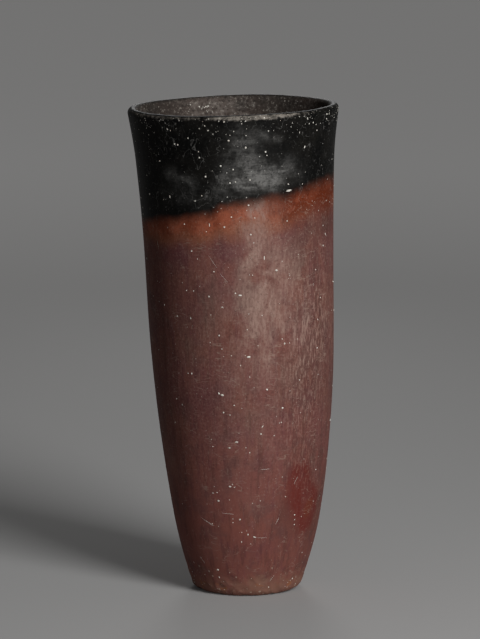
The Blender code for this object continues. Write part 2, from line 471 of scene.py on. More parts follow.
@dataclass(frozen=True)
class FireMarks:
    """What the fire and long use left on the wall: the black border, blooms, blotches and scuffs, with
    painted sheen in the blooms and scuffs.
    """

    border_pixels: Pairs = (
        (151.5, 217.0), (189.7, 215.6), (210.0, 212.6), (218.5, 205.0), (237.6, 202.0), (261.5, 198.8),
        (285.4, 194.0), (301.4, 188.5), (317.3, 181.3), (331.0, 176.5),
    )
    border_behind: Pairs = (
        (120.0, 0.2350), (155.0, 0.2290), (190.0, 0.2240), (225.0, 0.2160), (255.0, 0.2110),
    )
    band_heights: Pairs = ((-80.0, 0.0130), (0.0, 0.0190), (80.0, 0.0210), (180.0, 0.0170))
    lip_shares: Pairs = (
        (-90.0, 0.60), (-62.0, 0.76), (-45.0, 0.66), (-14.0, 0.66), (-6.0, 1.00), (6.0, 1.46),
        (20.0, 1.22), (30.0, 0.94), (40.0, 0.68), (60.0, 0.36), (100.0, 0.20), (180.0, 0.60),
    )
    # Grey blooms on the slip, which in the middle of the front also paint the sheen of the key light's
    # highlight.
    bloom: Areas = (
        SeenPatch(270.0, 312.0, 34.0, 62.0), SeenPatch(312.0, 330.0, 28.0, 62.0, 0.62),
        SeenPatch(255.0, 395.0, 32.0, 70.0, 0.34), SeenPatch(260.0, 222.0, 17.0, 24.0, 0.50),
        SeenPatch(268.0, 255.0, 18.0, 30.0, 0.45), SeenPatch(232.0, 330.0, 16.0, 40.0, 0.22),
        SeenPatch(255.0, 206.0, 15.0, 12.0, 1.30), SeenPatch(248.0, 244.0, 13.0, 34.0, 1.12),
        SeenPatch(268.0, 304.0, 16.0, 40.0, 0.72), SeenPatch(251.0, 272.0, 12.0, 18.0, 0.45),
        SeenPatch(250.0, 360.0, 14.0, 28.0, 0.20), SeenPatch(270.0, 448.0, 11.0, 16.0, 0.26),
        SeenPatch(233.0, 487.0, 11.0, 18.0, 0.20), SeenPatch(250.0, 510.0, 10.0, 14.0, 0.18),
        SeenPatch(210.0, 549.0, 11.0, 11.0, 0.24), Patch(150.0, 0.110, 34.0, 0.046, 0.9),
        Patch(-128.0, 0.160, 30.0, 0.036, 0.75), Patch(-70.0, 0.075, 18.0, 0.024, 0.4),
    )
    blotch: Areas = (
        SeenPatch(299.0, 478.0, 11.0, 17.0, 1.1), SeenPatch(305.0, 504.0, 11.0, 22.0, 1.2),
        SeenPatch(306.0, 520.0, 7.0, 12.0, 0.6), SeenPatch(292.0, 492.0, 9.0, 20.0, 0.5),
        SeenPatch(306.0, 507.0, 4.5, 15.0, 1.1), SeenPatch(312.0, 505.0, 5.0, 19.0, 0.8),
        Patch(-150.0, 0.118, 13.0, 0.022, 0.8), Patch(118.0, 0.045, 11.0, 0.014, 0.7),
    )
    # Grey scuffs on the black top; the strong ones in the middle of the front also paint the sheen of the
    # key light's highlight.
    scuff: Areas = (
        SeenPatch(266.0, 175.5, 23.0, 9.0, 1.90), SeenPatch(182.0, 197.0, 18.0, 10.0, 0.26),
        SeenPatch(232.0, 160.0, 12.0, 14.0, 0.22), SeenPatch(211.0, 203.0, 14.0, 6.0, 0.14),
        SeenPatch(249.0, 187.0, 13.0, 8.0, 1.15), SeenPatch(230.0, 180.0, 13.0, 12.0, 0.48),
        SeenPatch(250.0, 160.0, 16.0, 13.0, 0.50), SeenPatch(243.0, 142.0, 14.0, 14.0, 0.54),
        SeenPatch(292.0, 168.0, 11.0, 10.0, 0.26), SeenPatch(268.0, 136.0, 9.0, 5.0, 0.50),
        SeenPatch(184.0, 182.0, 10.0, 7.0, 0.62), SeenPatch(171.0, 172.0, 6.0, 6.0, 0.42),
        SeenPatch(218.0, 194.0, 14.0, 7.0, 0.32), Patch(128.0, 0.246, 22.0, 0.013, 0.9),
        Patch(-145.0, 0.238, 22.0, 0.011, 0.8),
    )
    smoke: Areas = (
        SeenPatch(322.0, 203.0, 24.0, 30.0, 0.74), SeenPatch(302.0, 224.0, 16.0, 10.0, 0.22),
        SeenPatch(327.0, 378.0, 13.0, 46.0, 0.56), SeenPatch(294.0, 373.0, 16.0, 24.0, 0.52),
        SeenPatch(296.0, 245.0, 14.0, 14.0, 0.62), SeenPatch(325.0, 248.0, 8.0, 12.0, 0.20),
        SeenPatch(327.0, 223.0, 10.0, 13.0, 0.70), SeenPatch(310.0, 232.0, 10.0, 10.0, 0.32),
        SeenPatch(318.0, 490.0, 16.0, 44.0, 0.52), SeenPatch(288.0, 514.0, 12.0, 20.0, 0.50),
        SeenPatch(317.0, 508.0, 7.0, 26.0, 0.40), SeenPatch(213.0, 405.0, 17.0, 30.0, 0.34),
        SeenPatch(281.5, 512.0, 5.0, 18.0, 0.45), SeenPatch(308.5, 462.0, 3.5, 16.0, 0.55),
        SeenPatch(285.0, 455.0, 4.0, 14.0, 0.35), SeenPatch(303.0, 268.0, 10.0, 16.0, 0.36),
        SeenPatch(180.0, 305.0, 22.0, 48.0, 0.34), SeenPatch(305.0, 538.0, 24.0, 34.0, 0.50),
        Patch(-170.0, 0.170, 30.0, 0.030, 0.4), Patch(100.0, 0.120, 18.0, 0.030, 0.35),
        Patch(-105.0, 0.268, 26.0, 0.030), Patch(-134.0, 0.268, 18.0, 0.030, 0.9),
        Patch(-174.0, 0.260, 16.0, 0.009, -1.0), Patch(150.0, 0.262, 32.0, 0.030, 0.8),
    )
    stria: Areas = (
        SeenPatch(316.0, 325.0, 22.0, 66.0), SeenPatch(303.0, 410.0, 20.0, 50.0, 0.55),
        SeenPatch(318.0, 252.0, 14.0, 14.0, 0.25), SeenPatch(215.0, 350.0, 50.0, 90.0, 0.26),
        SeenPatch(305.0, 470.0, 14.0, 22.0, 0.40), Patch(175.0, 0.140, 30.0, 0.050, 0.8),
        Patch(-110.0, 0.100, 24.0, 0.040, 0.7),
    )
    violet: Areas = (
        SeenPatch(175.0, 252.0, 15.0, 14.0, 0.9), SeenPatch(228.0, 252.0, 20.0, 12.0, 0.6),
        SeenPatch(288.0, 236.0, 14.0, 12.0, 0.7), SeenPatch(210.0, 402.0, 18.0, 20.0, 0.6),
        SeenPatch(260.0, 545.0, 20.0, 12.0, 0.4), Patch(110.0, 0.195, 26.0, 0.014, 0.8),
        Patch(-120.0, 0.190, 26.0, 0.012, 0.8),
    )
    moss: Areas = (
        SeenPatch(208.0, 312.0, 12.0, 26.0, 0.55), SeenPatch(250.0, 300.0, 12.0, 26.0, 0.55),
        SeenPatch(299.0, 268.0, 13.0, 18.0, 0.60), SeenPatch(253.0, 425.0, 8.0, 12.0, 0.50),
        SeenPatch(313.0, 465.0, 3.5, 13.0, 0.70), SeenPatch(190.0, 345.0, 12.0, 22.0, 0.35),
        Patch(160.0, 0.165, 24.0, 0.030, 0.5), Patch(-90.0, 0.120, 16.0, 0.030, 0.4),
    )
    border_ripple: Ripple = Ripple(0.0014, 0.010, 0.012, 71.3)
    fray_turn: Ripple = Ripple(5.0, 0.013, 0.016, 83.1)
    fray_height: Ripple = Ripple(0.0045, 0.012, 0.014, 97.9)

    def areas(self) -> dict[Trait, Areas]:
        """The areas that make up each trait of this kind.

        Returns:
            The areas for each trait.
        """
        return {
            Trait.BLOOM: self.bloom,
            Trait.BLOTCH: self.blotch,
            Trait.SCUFF_AND_SHEEN: self.scuff,
            Trait.SMOKE: self.smoke,
            Trait.STRIA: self.stria,
            Trait.VIOLET: self.violet,
            Trait.MOSS: self.moss,
        }

    def covers(self, points: np.ndarray, view: PhotoView, shape: WallShape) -> dict[Trait, np.ndarray]:
        """How strong each trait that is made up of areas is at points of the upright wall.

        Args:
            points: Places on the true upright wall.
            view: The camera that the seen areas were read with.
            shape: The wall that they lie on.

        Returns:
            One number for each point, for each trait.
        """
        turn = np.degrees(np.arctan2(points[..., 0], -points[..., 1])) + self.fray_turn.at(points)
        z = points[..., 2] + self.fray_height.at(points)
        return {
            trait: sum(area.on_wall(view, shape).cover(turn, z) for area in areas)
            for trait, areas in self.areas().items()
        }

    def lip_share(self, turn: np.ndarray) -> np.ndarray:
        """How far the lip is worn at turns round the wall."""
        return round_wall(turn, self.lip_shares)

    def border(self, turn: np.ndarray, view: PhotoView, shape: WallShape) -> np.ndarray:
        """Height of the black top's lower edge at turns round the wall."""
        seen = [view.spot(x, y, shape) for x, y in self.border_pixels]
        return round_wall(turn, (*seen, *self.border_behind))

    def band(self, turn: np.ndarray) -> np.ndarray:
        """Height of the orange band under the black top at turns round the wall."""
        return round_wall(turn, self.band_heights)


@dataclass
class ClayWall:
    """The whole wall as one grid of points, from the middle of the floor over the lip to the foot."""

    shape: WallShape
    hand: HandMarks
    fire: FireMarks
    view: PhotoView
    columns: int = 360
    row_height: float = 0.0012
    lip_rows: int = 16
    corner_rows: int = 10
    heel_rows: int = 9
    flat_rows: int = 12
    inside_edge: tuple[float, float] = (-0.0040, 0.0010)
    lip_start: tuple[float, float] = (0.0006, 0.0026)
    lip_end: tuple[float, float] = (0.0020, 0.0074)
    heel_reach: float = 0.0200
    rows: list[tuple[float, float]] = field(init=False, default_factory=list)
    inside_joints: dict[int, int] = field(init=False, default_factory=dict)
    outside_joints: dict[int, int] = field(init=False, default_factory=dict)
    turns: np.ndarray = field(init=False)
    heights: np.ndarray = field(init=False)
    points: np.ndarray = field(init=False)
    normals: np.ndarray = field(init=False)
    traits: dict[Trait, np.ndarray] = field(init=False, default_factory=dict)

    def build(self) -> None:
        """Lays the rows, works the clay and notes what the finishes need."""
        self.lay_rows()
        self.work_clay()

    def lay_rows(self) -> None:
        """Lays the profile's rows, with one on each end of every joint."""
        shape = self.shape
        quarter = np.linspace(0.0, math.pi / 2, self.corner_rows)
        corner = shape.floor_thickness + shape.floor_round * (1 - np.cos(quarter))
        flat = np.linspace(0.0, float(shape.inner(shape.floor_thickness)), self.flat_rows)
        self.rows = [(r, shape.floor_thickness) for r in flat[:-1]]
        self.rows += [(float(shape.inner(z)), z) for z in corner]
        for index in range(shape.courses + 1):
            self.climb(shape.joint(index)[1], shape.inner)
            self.inside_joints[index] = len(self.rows) - 1
        self.climb(shape.lip_foot(), shape.inner)
        outer, inner = float(shape.line(shape.lip_foot())), self.rows[-1][0]
        for turn in np.linspace(0.0, math.pi, self.lip_rows)[1:]:
            across = (outer + inner) / 2 - (outer - inner) / 2 * math.cos(turn)
            self.rows.append((across, shape.lip_foot() + shape.rim_wall / 2 * math.sin(turn)))
        for index in reversed(range(shape.courses + 1)):
            self.climb(shape.joint(index)[0], shape.line)
            self.outside_joints[index] = len(self.rows) - 1
        self.climb(shape.heel_top(), shape.line)
        start = math.asin(shape.heel_top() / shape.heel_round - 1)
        for turn in np.linspace(start, -math.pi / 2, self.heel_rows)[1:]:
            reach = shape.base_radius() + shape.heel_round * math.cos(turn)
            self.rows.append((reach, shape.heel_round * (1 + math.sin(turn))))
        self.rows += [(r, 0.0) for r in np.linspace(shape.base_radius(), 0.0, self.flat_rows)[1:]]

    def climb(self, end: float, radius_at: Callable[[np.ndarray], np.ndarray]) -> None:
        """Adds even rows along the wall, from the last row's height to the height end.

        Args:
            end: Height of the last row.
            radius_at: Gives the wall's radius at heights.
        """
        start = self.rows[-1][1]
        count = max(1, math.ceil(abs(end - start) / self.row_height))
        heights = np.linspace(start, end, count + 1)[1:]
        self.rows += [(float(r), float(z)) for r, z in zip(radius_at(heights), heights)]

    def work_clay(self) -> None:
        """Gives the true wall its hand marks and its lean, with normals and traits at every point."""
        radius, self.heights = np.array(self.rows).T
        self.turns = np.arange(self.columns) * 360 / self.columns - 180
        angle = np.radians(self.turns)
        around = np.stack([np.sin(angle), -np.cos(angle), np.zeros_like(angle)], -1)
        out_r, out_z = -np.gradient(self.heights), np.gradient(radius)
        length = np.hypot(out_r, out_z)
        points = radius[:, None, None] * around + self.heights[:, None, None] * UP
        facing = (out_r / length)[:, None, None] * around + (out_z / length)[:, None, None] * UP
        self.note_traits(points, radius)
        marked = (self.traits[trait] for trait in (Trait.INSIDE, Trait.LIP, Trait.HEEL))
        points = points + self.hand.depth(points, *marked)[..., None] * facing
        points[..., 2] += self.hand.rise(points, self.shape.height)
        points[..., 2] = np.maximum(points[..., 2], 0.0)
        poles = [0, -1]
        points[poles, :, :2] = 0.0
        points[poles, :, 2] = points[poles, :, 2].mean(1, keepdims=True)
        self.points = self.shape.leaned(points)
        along = np.gradient(self.points, axis=0)
        across = np.roll(self.points, -1, 1) - np.roll(self.points, 1, 1)
        normals = np.cross(along, across)
        normals[0] = UP
        normals[-1] = -UP
        self.normals = normals / np.linalg.norm(normals, axis=-1, keepdims=True)

    def note_traits(self, points: np.ndarray, radius: np.ndarray) -> None:
        """Notes each point's traits, from its place on the true wall.

        Args:
            points: Places on the true upright wall.
            radius: Radius of each row.
        """
        shape, height = self.shape, self.heights
        everywhere = np.ones(self.columns)
        along = np.concatenate([[0.0], np.cumsum(np.hypot(np.diff(radius), np.diff(height)))])
        from_crest = along - along[int(np.argmax(height))]
        heel = along[self.outside_joints[0]] + shape.joint(0)[0] - shape.heel_top() / 2
        border = self.fire.border(self.turns, self.view, shape) + self.fire.border_ripple.at(points)
        worn = smooth_step(from_crest, *self.lip_start) * (1 - smooth_step(from_crest, *self.lip_end))
        rows = {
            Trait.INSIDE: (1 - smooth_step(from_crest, *self.inside_edge), everywhere),
            Trait.LIP: (worn, self.fire.lip_share(self.turns)),
            Trait.HEEL: (1 - smooth_step(np.abs(along - heel), 0.0, self.heel_reach), everywhere),
        }
        self.traits = {trait: up_wall[:, None] * round_it for trait, (up_wall, round_it) in rows.items()}
        self.traits[Trait.BELOW_BORDER] = (border - height[:, None]) / self.fire.band(self.turns)
        self.traits |= self.fire.covers(points, self.view, shape)

    def at(self, turn: float, z: float, side: Side = Side.OUTSIDE) -> tuple[Vector, Vector]:
        """Place and normal of the worked wall at a turn and a height, on one side of it.

        Args:
            turn: Angle round the wall in degrees.
            z: Height on the upright wall.
            side: Which side of the wall.

        Returns:
            The place and the normal there.
        """
        heights = self.heights
        crest = int(np.argmax(heights))
        foot = len(self.rows) - self.flat_rows if side is Side.OUTSIDE else self.flat_rows
        rows = np.arange(crest, foot, 1 if side is Side.OUTSIDE else -1)
        row = float(np.interp(-z, -heights[rows], rows))
        column = (turn + 180) % 360 * self.columns / 360
        i, j = int(row), int(column)
        down, across = row - i, column - j
        j %= self.columns
        k = (j + 1) % self.columns
        found = []
        for grid in (self.points, self.normals):
            upper = grid[i, j] * (1 - across) + grid[i, k] * across
            lower = grid[i + 1, j] * (1 - across) + grid[i + 1, k] * across
            found.append(Vector(upper * (1 - down) + lower * down))
        return found[0], found[1].normalized()

    def cut(self, name: str, runs: tuple[tuple[int, int], ...]) -> bpy.types.Object:
        """Cuts one closed piece of clay out of the wall.

        Args:
            name: The piece's name.
            runs: First and last row of each stretch of wall on the piece, in its outline's order.

        Returns:
            The piece, with the wall's own normals and traits.
        """
        rows = [row for first, last in runs for row in range(first, last + 1)]
        poles = {0, len(self.rows) - 1}
        places, bends, picks, index = [], [], [], []
        for row in rows:
            count = 1 if row in poles else self.columns
            index.append(len(places) + np.arange(self.columns) % count)
            places += self.points[row, :count].tolist()
            bends += self.normals[row, :count].tolist()
            picks += [(row, column) for column in range(count)]
        pairs = list(zip(range(len(rows)), range(1, len(rows))))
        if not poles & set(rows):
            pairs.append((len(rows) - 1, 0))
        faces = []
        for a, b in pairs:
            corners = (index[a], index[b], np.roll(index[b], -1), np.roll(index[a], -1))
            faces += [tuple(dict.fromkeys(face)) for face in np.stack(corners, -1).tolist()]
        mesh = bpy.data.meshes.new(name)
        mesh.from_pydata(places, [], faces)
        mesh.shade_smooth()
        mesh.normals_split_custom_set_from_vertices(bends)
        picked = tuple(np.array(picks).T)
        for trait, values in self.traits.items():
            attribute = mesh.attributes.new(trait.value, "FLOAT", "POINT")
            attribute.data.foreach_set("value", values[picked].astype(np.float32))
        return put_in_scene(name, mesh)


class NodeBench:
    """Lays nodes in one tree, with a short call for each kind that the finishes use."""

    def __init__(self, tree: bpy.types.NodeTree) -> None:
        """Takes the tree to work in."""
        self.tree = tree

    def add(self, kind: str, **settings: object) -> bpy.types.Node:
        """Adds a node of a kind, with its settings.

        Args:
            kind: The node's type.
            settings: Its properties by name.

        Returns:
            The node.
        """
        node = self.tree.nodes.new(kind)
        for name, value in settings.items():
            setattr(node, name, value)
        return node

    def feed(self, socket: Socket, value: object) -> None:
        """Links a socket to another one, or sets it to a plain value.

        Args:
            socket: The socket to feed.
            value: Another socket, or a plain value.
        """
        if isinstance(value, bpy.types.NodeSocket):
            self.tree.links.new(value, socket)
        elif isinstance(value, tuple) and socket.type == "RGBA":
            socket.default_value = (*value, 1.0)
        else:
            socket.default_value = value

    def feed_all(self, sockets: Sockets, **values: object) -> None:
        """Feeds each socket named, with _ for the spaces in its name."""
        for name, value in values.items():
            self.feed(sockets[name.replace("_", " ").title()], value)

    def place(self) -> Socket:
        """Place of a point on the object, in metres."""
        return self.add("ShaderNodeTexCoord").outputs["Object"]

    def trait(self, trait: Trait) -> Socket:
        """One of the wall's traits."""
        return self.add("ShaderNodeAttribute", attribute_name=trait.value).outputs["Fac"]

    def math(self, operation: str, a: object, b: object = 0.0) -> Socket:
        """Result of a math node on two values.

        Args:
            operation: What the node does.
            a: First value.
            b: Second value.

        Returns:
            The result.
        """
        node = self.add("ShaderNodeMath", operation=operation)
        self.feed(node.inputs[0], a)
        self.feed(node.inputs[1], b)
        return node.outputs[0]

    def fold(self, operation: str, *values: object) -> Socket:
        """Result of a math node on the first two values, then on that and the next, and so on.

        Args:
            operation: What each node does.
            values: The values in order.

        Returns:
            The last result.
        """
        result = values[0]
        for value in values[1:]:
            result = self.math(operation, result, value)
        return result

    def times(self, *values: object) -> Socket:
        """Product of values."""
        return self.fold("MULTIPLY", *values)

    def total(self, *values: object) -> Socket:
        """Sum of values."""
        return self.fold("ADD", *values)

    def most(self, *values: object) -> Socket:
        """Largest of values."""
        return self.fold("MAXIMUM", *values)

    def rest(self, value: object) -> Socket:
        """What a value leaves of 1."""
        return self.math("SUBTRACT", 1.0, value)

    def ramp(self, value: object, slope: float, start: float) -> Socket:
        """Start plus a slope times a value."""
        return self.total(self.times(value, slope), start)

    def weighed(self, *pairs: tuple[object, object]) -> Socket:
        """Sum of values, each times its weight."""
        return self.total(*(self.times(value, weight) for value, weight in pairs))

    def ease(self, value: object, low: object, high: object) -> Socket:
        """Eases a value from 0 at low to 1 at high.

        Args:
            value: The value to ease.
            low: Where the result is 0.
            high: Where the result is 1.

        Returns:
            The eased value.
        """
        node = self.add("ShaderNodeMapRange", interpolation_type="SMOOTHSTEP")
        for socket, given in zip(node.inputs, (value, low, high, 0.0, 1.0)):
            self.feed(socket, given)
        return node.outputs[0]

    def blend(self, share: object, a: object, b: object) -> Socket:
        """Colour that runs from a to b.

        Args:
            share: How far to run, from 0 to 1.
            a: First colour.
            b: Second colour.

        Returns:
            The colour between.
        """
        node = self.add("ShaderNodeMix", data_type="RGBA")
        for index, given in ((0, share), (6, a), (7, b)):
            self.feed(node.inputs[index], given)
        return node.outputs[2]

    def between(self, share: object, a: object, b: object) -> Socket:
        """Number that runs from a to b.

        Args:
            share: How far to run, from 0 to 1.
            a: First number.
            b: Second number.

        Returns:
            The number between.
        """
        node = self.add("ShaderNodeMix", data_type="FLOAT")
        for index, given in ((0, share), (2, a), (3, b)):
            self.feed(node.inputs[index], given)
        return node.outputs[0]

    def noise(
        self, place: object, size: float, detail: float = 3.0, rough: float = 0.55, twist: float = 0.0
    ) -> bpy.types.Node:
        """Noise texture with features of a size in metres.

        Args:
            place: Where the noise is read.
            size: Size of its features.
            detail: How many finer layers it has.
            rough: How strong these are.
            twist: How far it is distorted.

        Returns:
            The texture's node.
        """
        node = self.add("ShaderNodeTexNoise")
        self.feed_all(
            node.inputs, vector=place, scale=1 / size, detail=detail, roughness=rough, distortion=twist
        )
        return node

    def cloud(self, place: object, size: float, detail: float = 3.0, rough: float = 0.55) -> Socket:
        """Soft noise from 0 to 1 with features of a size in metres."""
        return self.noise(place, size, detail, rough).outputs[0]

    def shifted(self, place: object, shift: float) -> Socket:
        """A place moved aside, so that two noises don't run alike.

        Args:
            place: The place to move.
            shift: How far it moves along each axis.

        Returns:
            The place after the move.
        """
        if not shift:
            return place
        node = self.add("ShaderNodeVectorMath", operation="ADD")
        self.feed(node.inputs[0], place)
        node.inputs[1].default_value = (shift, shift, shift)
        return node.outputs[0]

    def drawn(self, given: Sockets) -> Socket:
        """A group's Place, with its Width and Length as the units across and upright.

        Args:
            given: The group's inputs.

        Returns:
            The place in those units.
        """
        size = self.add("ShaderNodeCombineXYZ")
        for socket, name in zip(size.inputs, ("Width", "Width", "Length")):
            self.feed(socket, given[name])
        node = self.add("ShaderNodeVectorMath", operation="DIVIDE")
        self.feed(node.inputs[0], given["Place"])
        self.feed(node.inputs[1], size.outputs[0])
        return node.outputs[0]

    def scaled(self, place: object, size: object) -> Socket:
        """A place with a size as its unit.

        Args:
            place: The place to scale.
            size: Length of the unit.

        Returns:
            The place in that unit.
        """
        node = self.add("ShaderNodeVectorMath", operation="SCALE")
        self.feed(node.inputs[0], place)
        self.feed(node.inputs["Scale"], self.math("DIVIDE", 1.0, size))
        return node.outputs[0]

    def put(self, effect: "Effect", place: Socket, shift: float = 0.0, **values: object) -> Sockets:
        """Places an effect's group, with a value or a link for each input named, and gives its outputs.

        Args:
            effect: The effect.
            place: Where it is read.
            shift: How far that is moved aside.
            values: The inputs by name, with _ for spaces.

        Returns:
            The group's outputs.
        """
        node = self.add("ShaderNodeGroup", node_tree=effect.tree)
        self.feed_all(node.inputs, place=self.shifted(place, shift), **values)
        return node.outputs

    def use(self, effect: "Effect", place: Socket, shift: float = 0.0, **values: object) -> Socket:
        """Places an effect's group like put, and gives its first output."""
        return self.put(effect, place, shift, **values)[0]


class Effect:
    """A shader node group that the finishes share, made once, with named inputs and outputs."""

    VECTOR: ClassVar[str] = "NodeSocketVector"
    VALUE: ClassVar[str] = "NodeSocketFloat"
    COLOUR: ClassVar[str] = "NodeSocketColor"

    def __init__(self, name: str, values: tuple[str, ...], outputs: dict[str, str]) -> None:
        """Makes an empty group, which takes a place and some values.

        Args:
            name: The group's name.
            values: Names of the inputs beside Place.
            outputs: Kind of socket for each output's name.
        """
        self.tree = bpy.data.node_groups.new(name, "ShaderNodeTree")
        self.bench = NodeBench(self.tree)
        given = {"Place": self.VECTOR, **{value: self.VALUE for value in values}}
        for sockets, in_out in ((given, "INPUT"), (outputs, "OUTPUT")):
            for label, kind in sockets.items():
                self.tree.interface.new_socket(name=label, in_out=in_out, socket_type=kind)
        self.inputs = self.bench.add("NodeGroupInput").outputs
        self.outputs = self.bench.add("NodeGroupOutput").inputs

    def put_out(self, **values: Socket) -> "Effect":
        """Links each output named, and gives the effect back."""
        self.bench.feed_all(self.outputs, **values)
        return self


def burnish_strokes() -> Effect:
    """Streaks that a pebble leaves in leather-hard clay, long one way and narrow the other.

    Returns:
        The group, which takes a place, a width and a length.
    """
    effect = Effect("burnish_strokes", ("Width", "Length"), {"Stroke": Effect.VALUE})
    bench = effect.bench
    return effect.put_out(stroke=bench.cloud(bench.drawn(effect.inputs), 1.0, 4.0, 0.6))


def lime_flecks() -> Effect:
    """Scattered flecks of lime with frayed edges, each in a cell of its own.

    Returns:
        The group, which takes a place, a spacing, a share and a size.
    """
    fray_size, fray_depth = 0.0009, 0.0006
    effect = Effect("lime_flecks", ("Spacing", "Share", "Size"), {"Fleck": Effect.VALUE})
    bench, given = effect.bench, effect.inputs
    fray = bench.noise(given["Place"], fray_size, 2.0, 0.5).outputs["Color"]
    frayed = bench.add("ShaderNodeVectorMath", operation="MULTIPLY_ADD")
    for socket, value in zip(frayed.inputs, (fray, (fray_depth,) * 3, given["Place"])):
        bench.feed(socket, value)
    cells = bench.add("ShaderNodeTexVoronoi")
    bench.feed_all(cells.inputs, vector=bench.scaled(frayed.outputs[0], given["Spacing"]), scale=1.0)
    draw = bench.add("ShaderNodeSeparateColor")
    bench.feed(draw.inputs[0], cells.outputs["Color"])
    chosen = bench.math("LESS_THAN", draw.outputs[0], given["Share"])
    reach = bench.times(given["Size"], bench.ramp(draw.outputs[1], 0.7, 0.3))
    edge = bench.ease(cells.outputs["Distance"], reach, bench.times(reach, 0.6))
    return effect.put_out(fleck=bench.times(chosen, edge))


def dust_film() -> Effect:
    """Patchy film that breaks up at its edges, from none at a cover of 0 to nearly all at 1.

    Returns:
        The group, which takes a place, a patch size and a cover.
    """
    effect = Effect("dust_film", ("Patch", "Cover"), {"Film": Effect.VALUE})
    bench, given = effect.bench, effect.inputs
    cloud = bench.cloud(bench.scaled(given["Place"], given["Patch"]), 1.0, 7.0, 0.68)
    edge = bench.ramp(given["Cover"], -0.46, 0.74)
    return effect.put_out(film=bench.ease(cloud, bench.total(edge, -0.08), bench.total(edge, 0.14)))


def soft_wisps() -> Effect:
    """Smoky wisps with no hard edge, which thin out the scuffs and blooms and their painted sheen.

    Returns:
        The group, which takes a place, a width and a length.
    """
    effect = Effect("soft_wisps", ("Width", "Length"), {"Wisp": Effect.VALUE})
    bench = effect.bench
    cloud = bench.noise(bench.drawn(effect.inputs), 1.0, 6.0, 0.62, 0.7).outputs[0]
    return effect.put_out(wisp=bench.ease(cloud, 0.30, 0.72))


def hairlines() -> Effect:
    """Thin scratches that run the long way of a stretched noise.

    Returns:
        The group, which takes a place, a width, a length and a share.
    """
    effect = Effect("hairlines", ("Width", "Length", "Share"), {"Line": Effect.VALUE})
    bench, given = effect.bench, effect.inputs
    off = bench.math("ABSOLUTE", bench.total(bench.cloud(bench.drawn(given), 1.0, 2.0, 0.5), -0.5))
    line = bench.ease(off, given["Share"], 0.0)
    broken = bench.ease(bench.cloud(bench.shifted(given["Place"], 3.7), 0.011, 2.0), 0.50, 0.62)
    return effect.put_out(line=bench.times(line, broken))


def clay_grain() -> Effect:
    """Fine grain of the clay: its pale grains and its dark pits.

    Returns:
        The group, which takes a place and a size.
    """
    effect = Effect("clay_grain", ("Size",), {"Pale": Effect.VALUE, "Dark": Effect.VALUE})
    bench, given = effect.bench, effect.inputs
    grain = bench.cloud(bench.scaled(given["Place"], given["Size"]), 1.0, 3.0, 0.7)
    return effect.put_out(pale=bench.ease(grain, 0.54, 0.70), dark=bench.ease(grain, 0.48, 0.32))


@dataclass(frozen=True)
class Effects:
    """The effects that the finishes share."""

    strokes: Effect = field(default_factory=burnish_strokes)
    flecks: Effect = field(default_factory=lime_flecks)
    film: Effect = field(default_factory=dust_film)
    wisps: Effect = field(default_factory=soft_wisps)
    lines: Effect = field(default_factory=hairlines)
    grain: Effect = field(default_factory=clay_grain)


@dataclass(frozen=True)
class Coat:
    """A colour to lay over another one, and how strong it is where its mask is full."""

    colour: Colour
    strength: float = 1.0

    def over(self, bench: NodeBench, colour: object, *masks: object) -> Socket:
        """A colour with this one over it, where the product of the masks says."""
        return bench.blend(bench.times(*masks, self.strength), colour, self.colour)


@dataclass(frozen=True)
class Clouds:
    """Soft clouds: their size, the levels of their noise where they start and are full, and its look."""

    size: float
    low: float
    high: float
    detail: float = 3.0
    rough: float = 0.55
    shift: float = 0.0

    def mask(self, bench: NodeBench, place: Socket) -> Socket:
        """Where the clouds are, from 0 to 1."""
        cloud = bench.cloud(bench.shifted(place, self.shift), self.size, self.detail, self.rough)
        return bench.ease(cloud, self.low, self.high)


@dataclass(frozen=True)
class Strokes:
    """Marks that are drawn out one way: their width and length, and how far they are moved aside."""

    width: float
    length: float
    shift: float = 0.0

    def mask(self, bench: NodeBench, effect: Effect, place: Socket, **values: object) -> Socket:
        """Where the marks are, from 0 to 1, as an effect draws them."""
        return bench.use(effect, place, self.shift, width=self.width, length=self.length, **values)


@dataclass(frozen=True)
class Flecks:
    """Flecks of one size: the cells they sit in, the share of cells with one, and their size in it."""

    spacing: float
    share: float
    size: float
    shift: float = 0.0
    strength: float = 1.0

    def mask(self, bench: NodeBench, shared: Effects, place: Socket, *shares: object) -> Socket:
        """Where the flecks are, from 0 to their strength, in the product of the shares of their cells.

        Args:
            bench: The bench in the group's tree.
            shared: The effects.
            place: The point's place.
            shares: Further shares of the cells.

        Returns:
            The mask.
        """
        share = bench.times(*shares, self.share)
        sizes = {"spacing": self.spacing, "share": share, "size": self.size}
        return bench.times(bench.use(shared.flecks, place, self.shift, **sizes), self.strength)


@dataclass(frozen=True)
class Surface:
    """What a finish says of a point of clay: its colour, its roughness and its relief in millimetres."""

    colour: Socket
    rough: Socket
    relief: Socket

    def under(self, bench: NodeBench, share: Socket, top: "Surface") -> "Surface":
        """This surface with another one over a share of it.

        Args:
            bench: The bench in the material's tree.
            share: How much of this surface is covered.
            top: The surface over it.

        Returns:
            Both as one surface.
        """
        return Surface(
            bench.blend(share, self.colour, top.colour),
            bench.between(share, self.rough, top.rough),
            bench.between(share, self.relief, top.relief),
        )


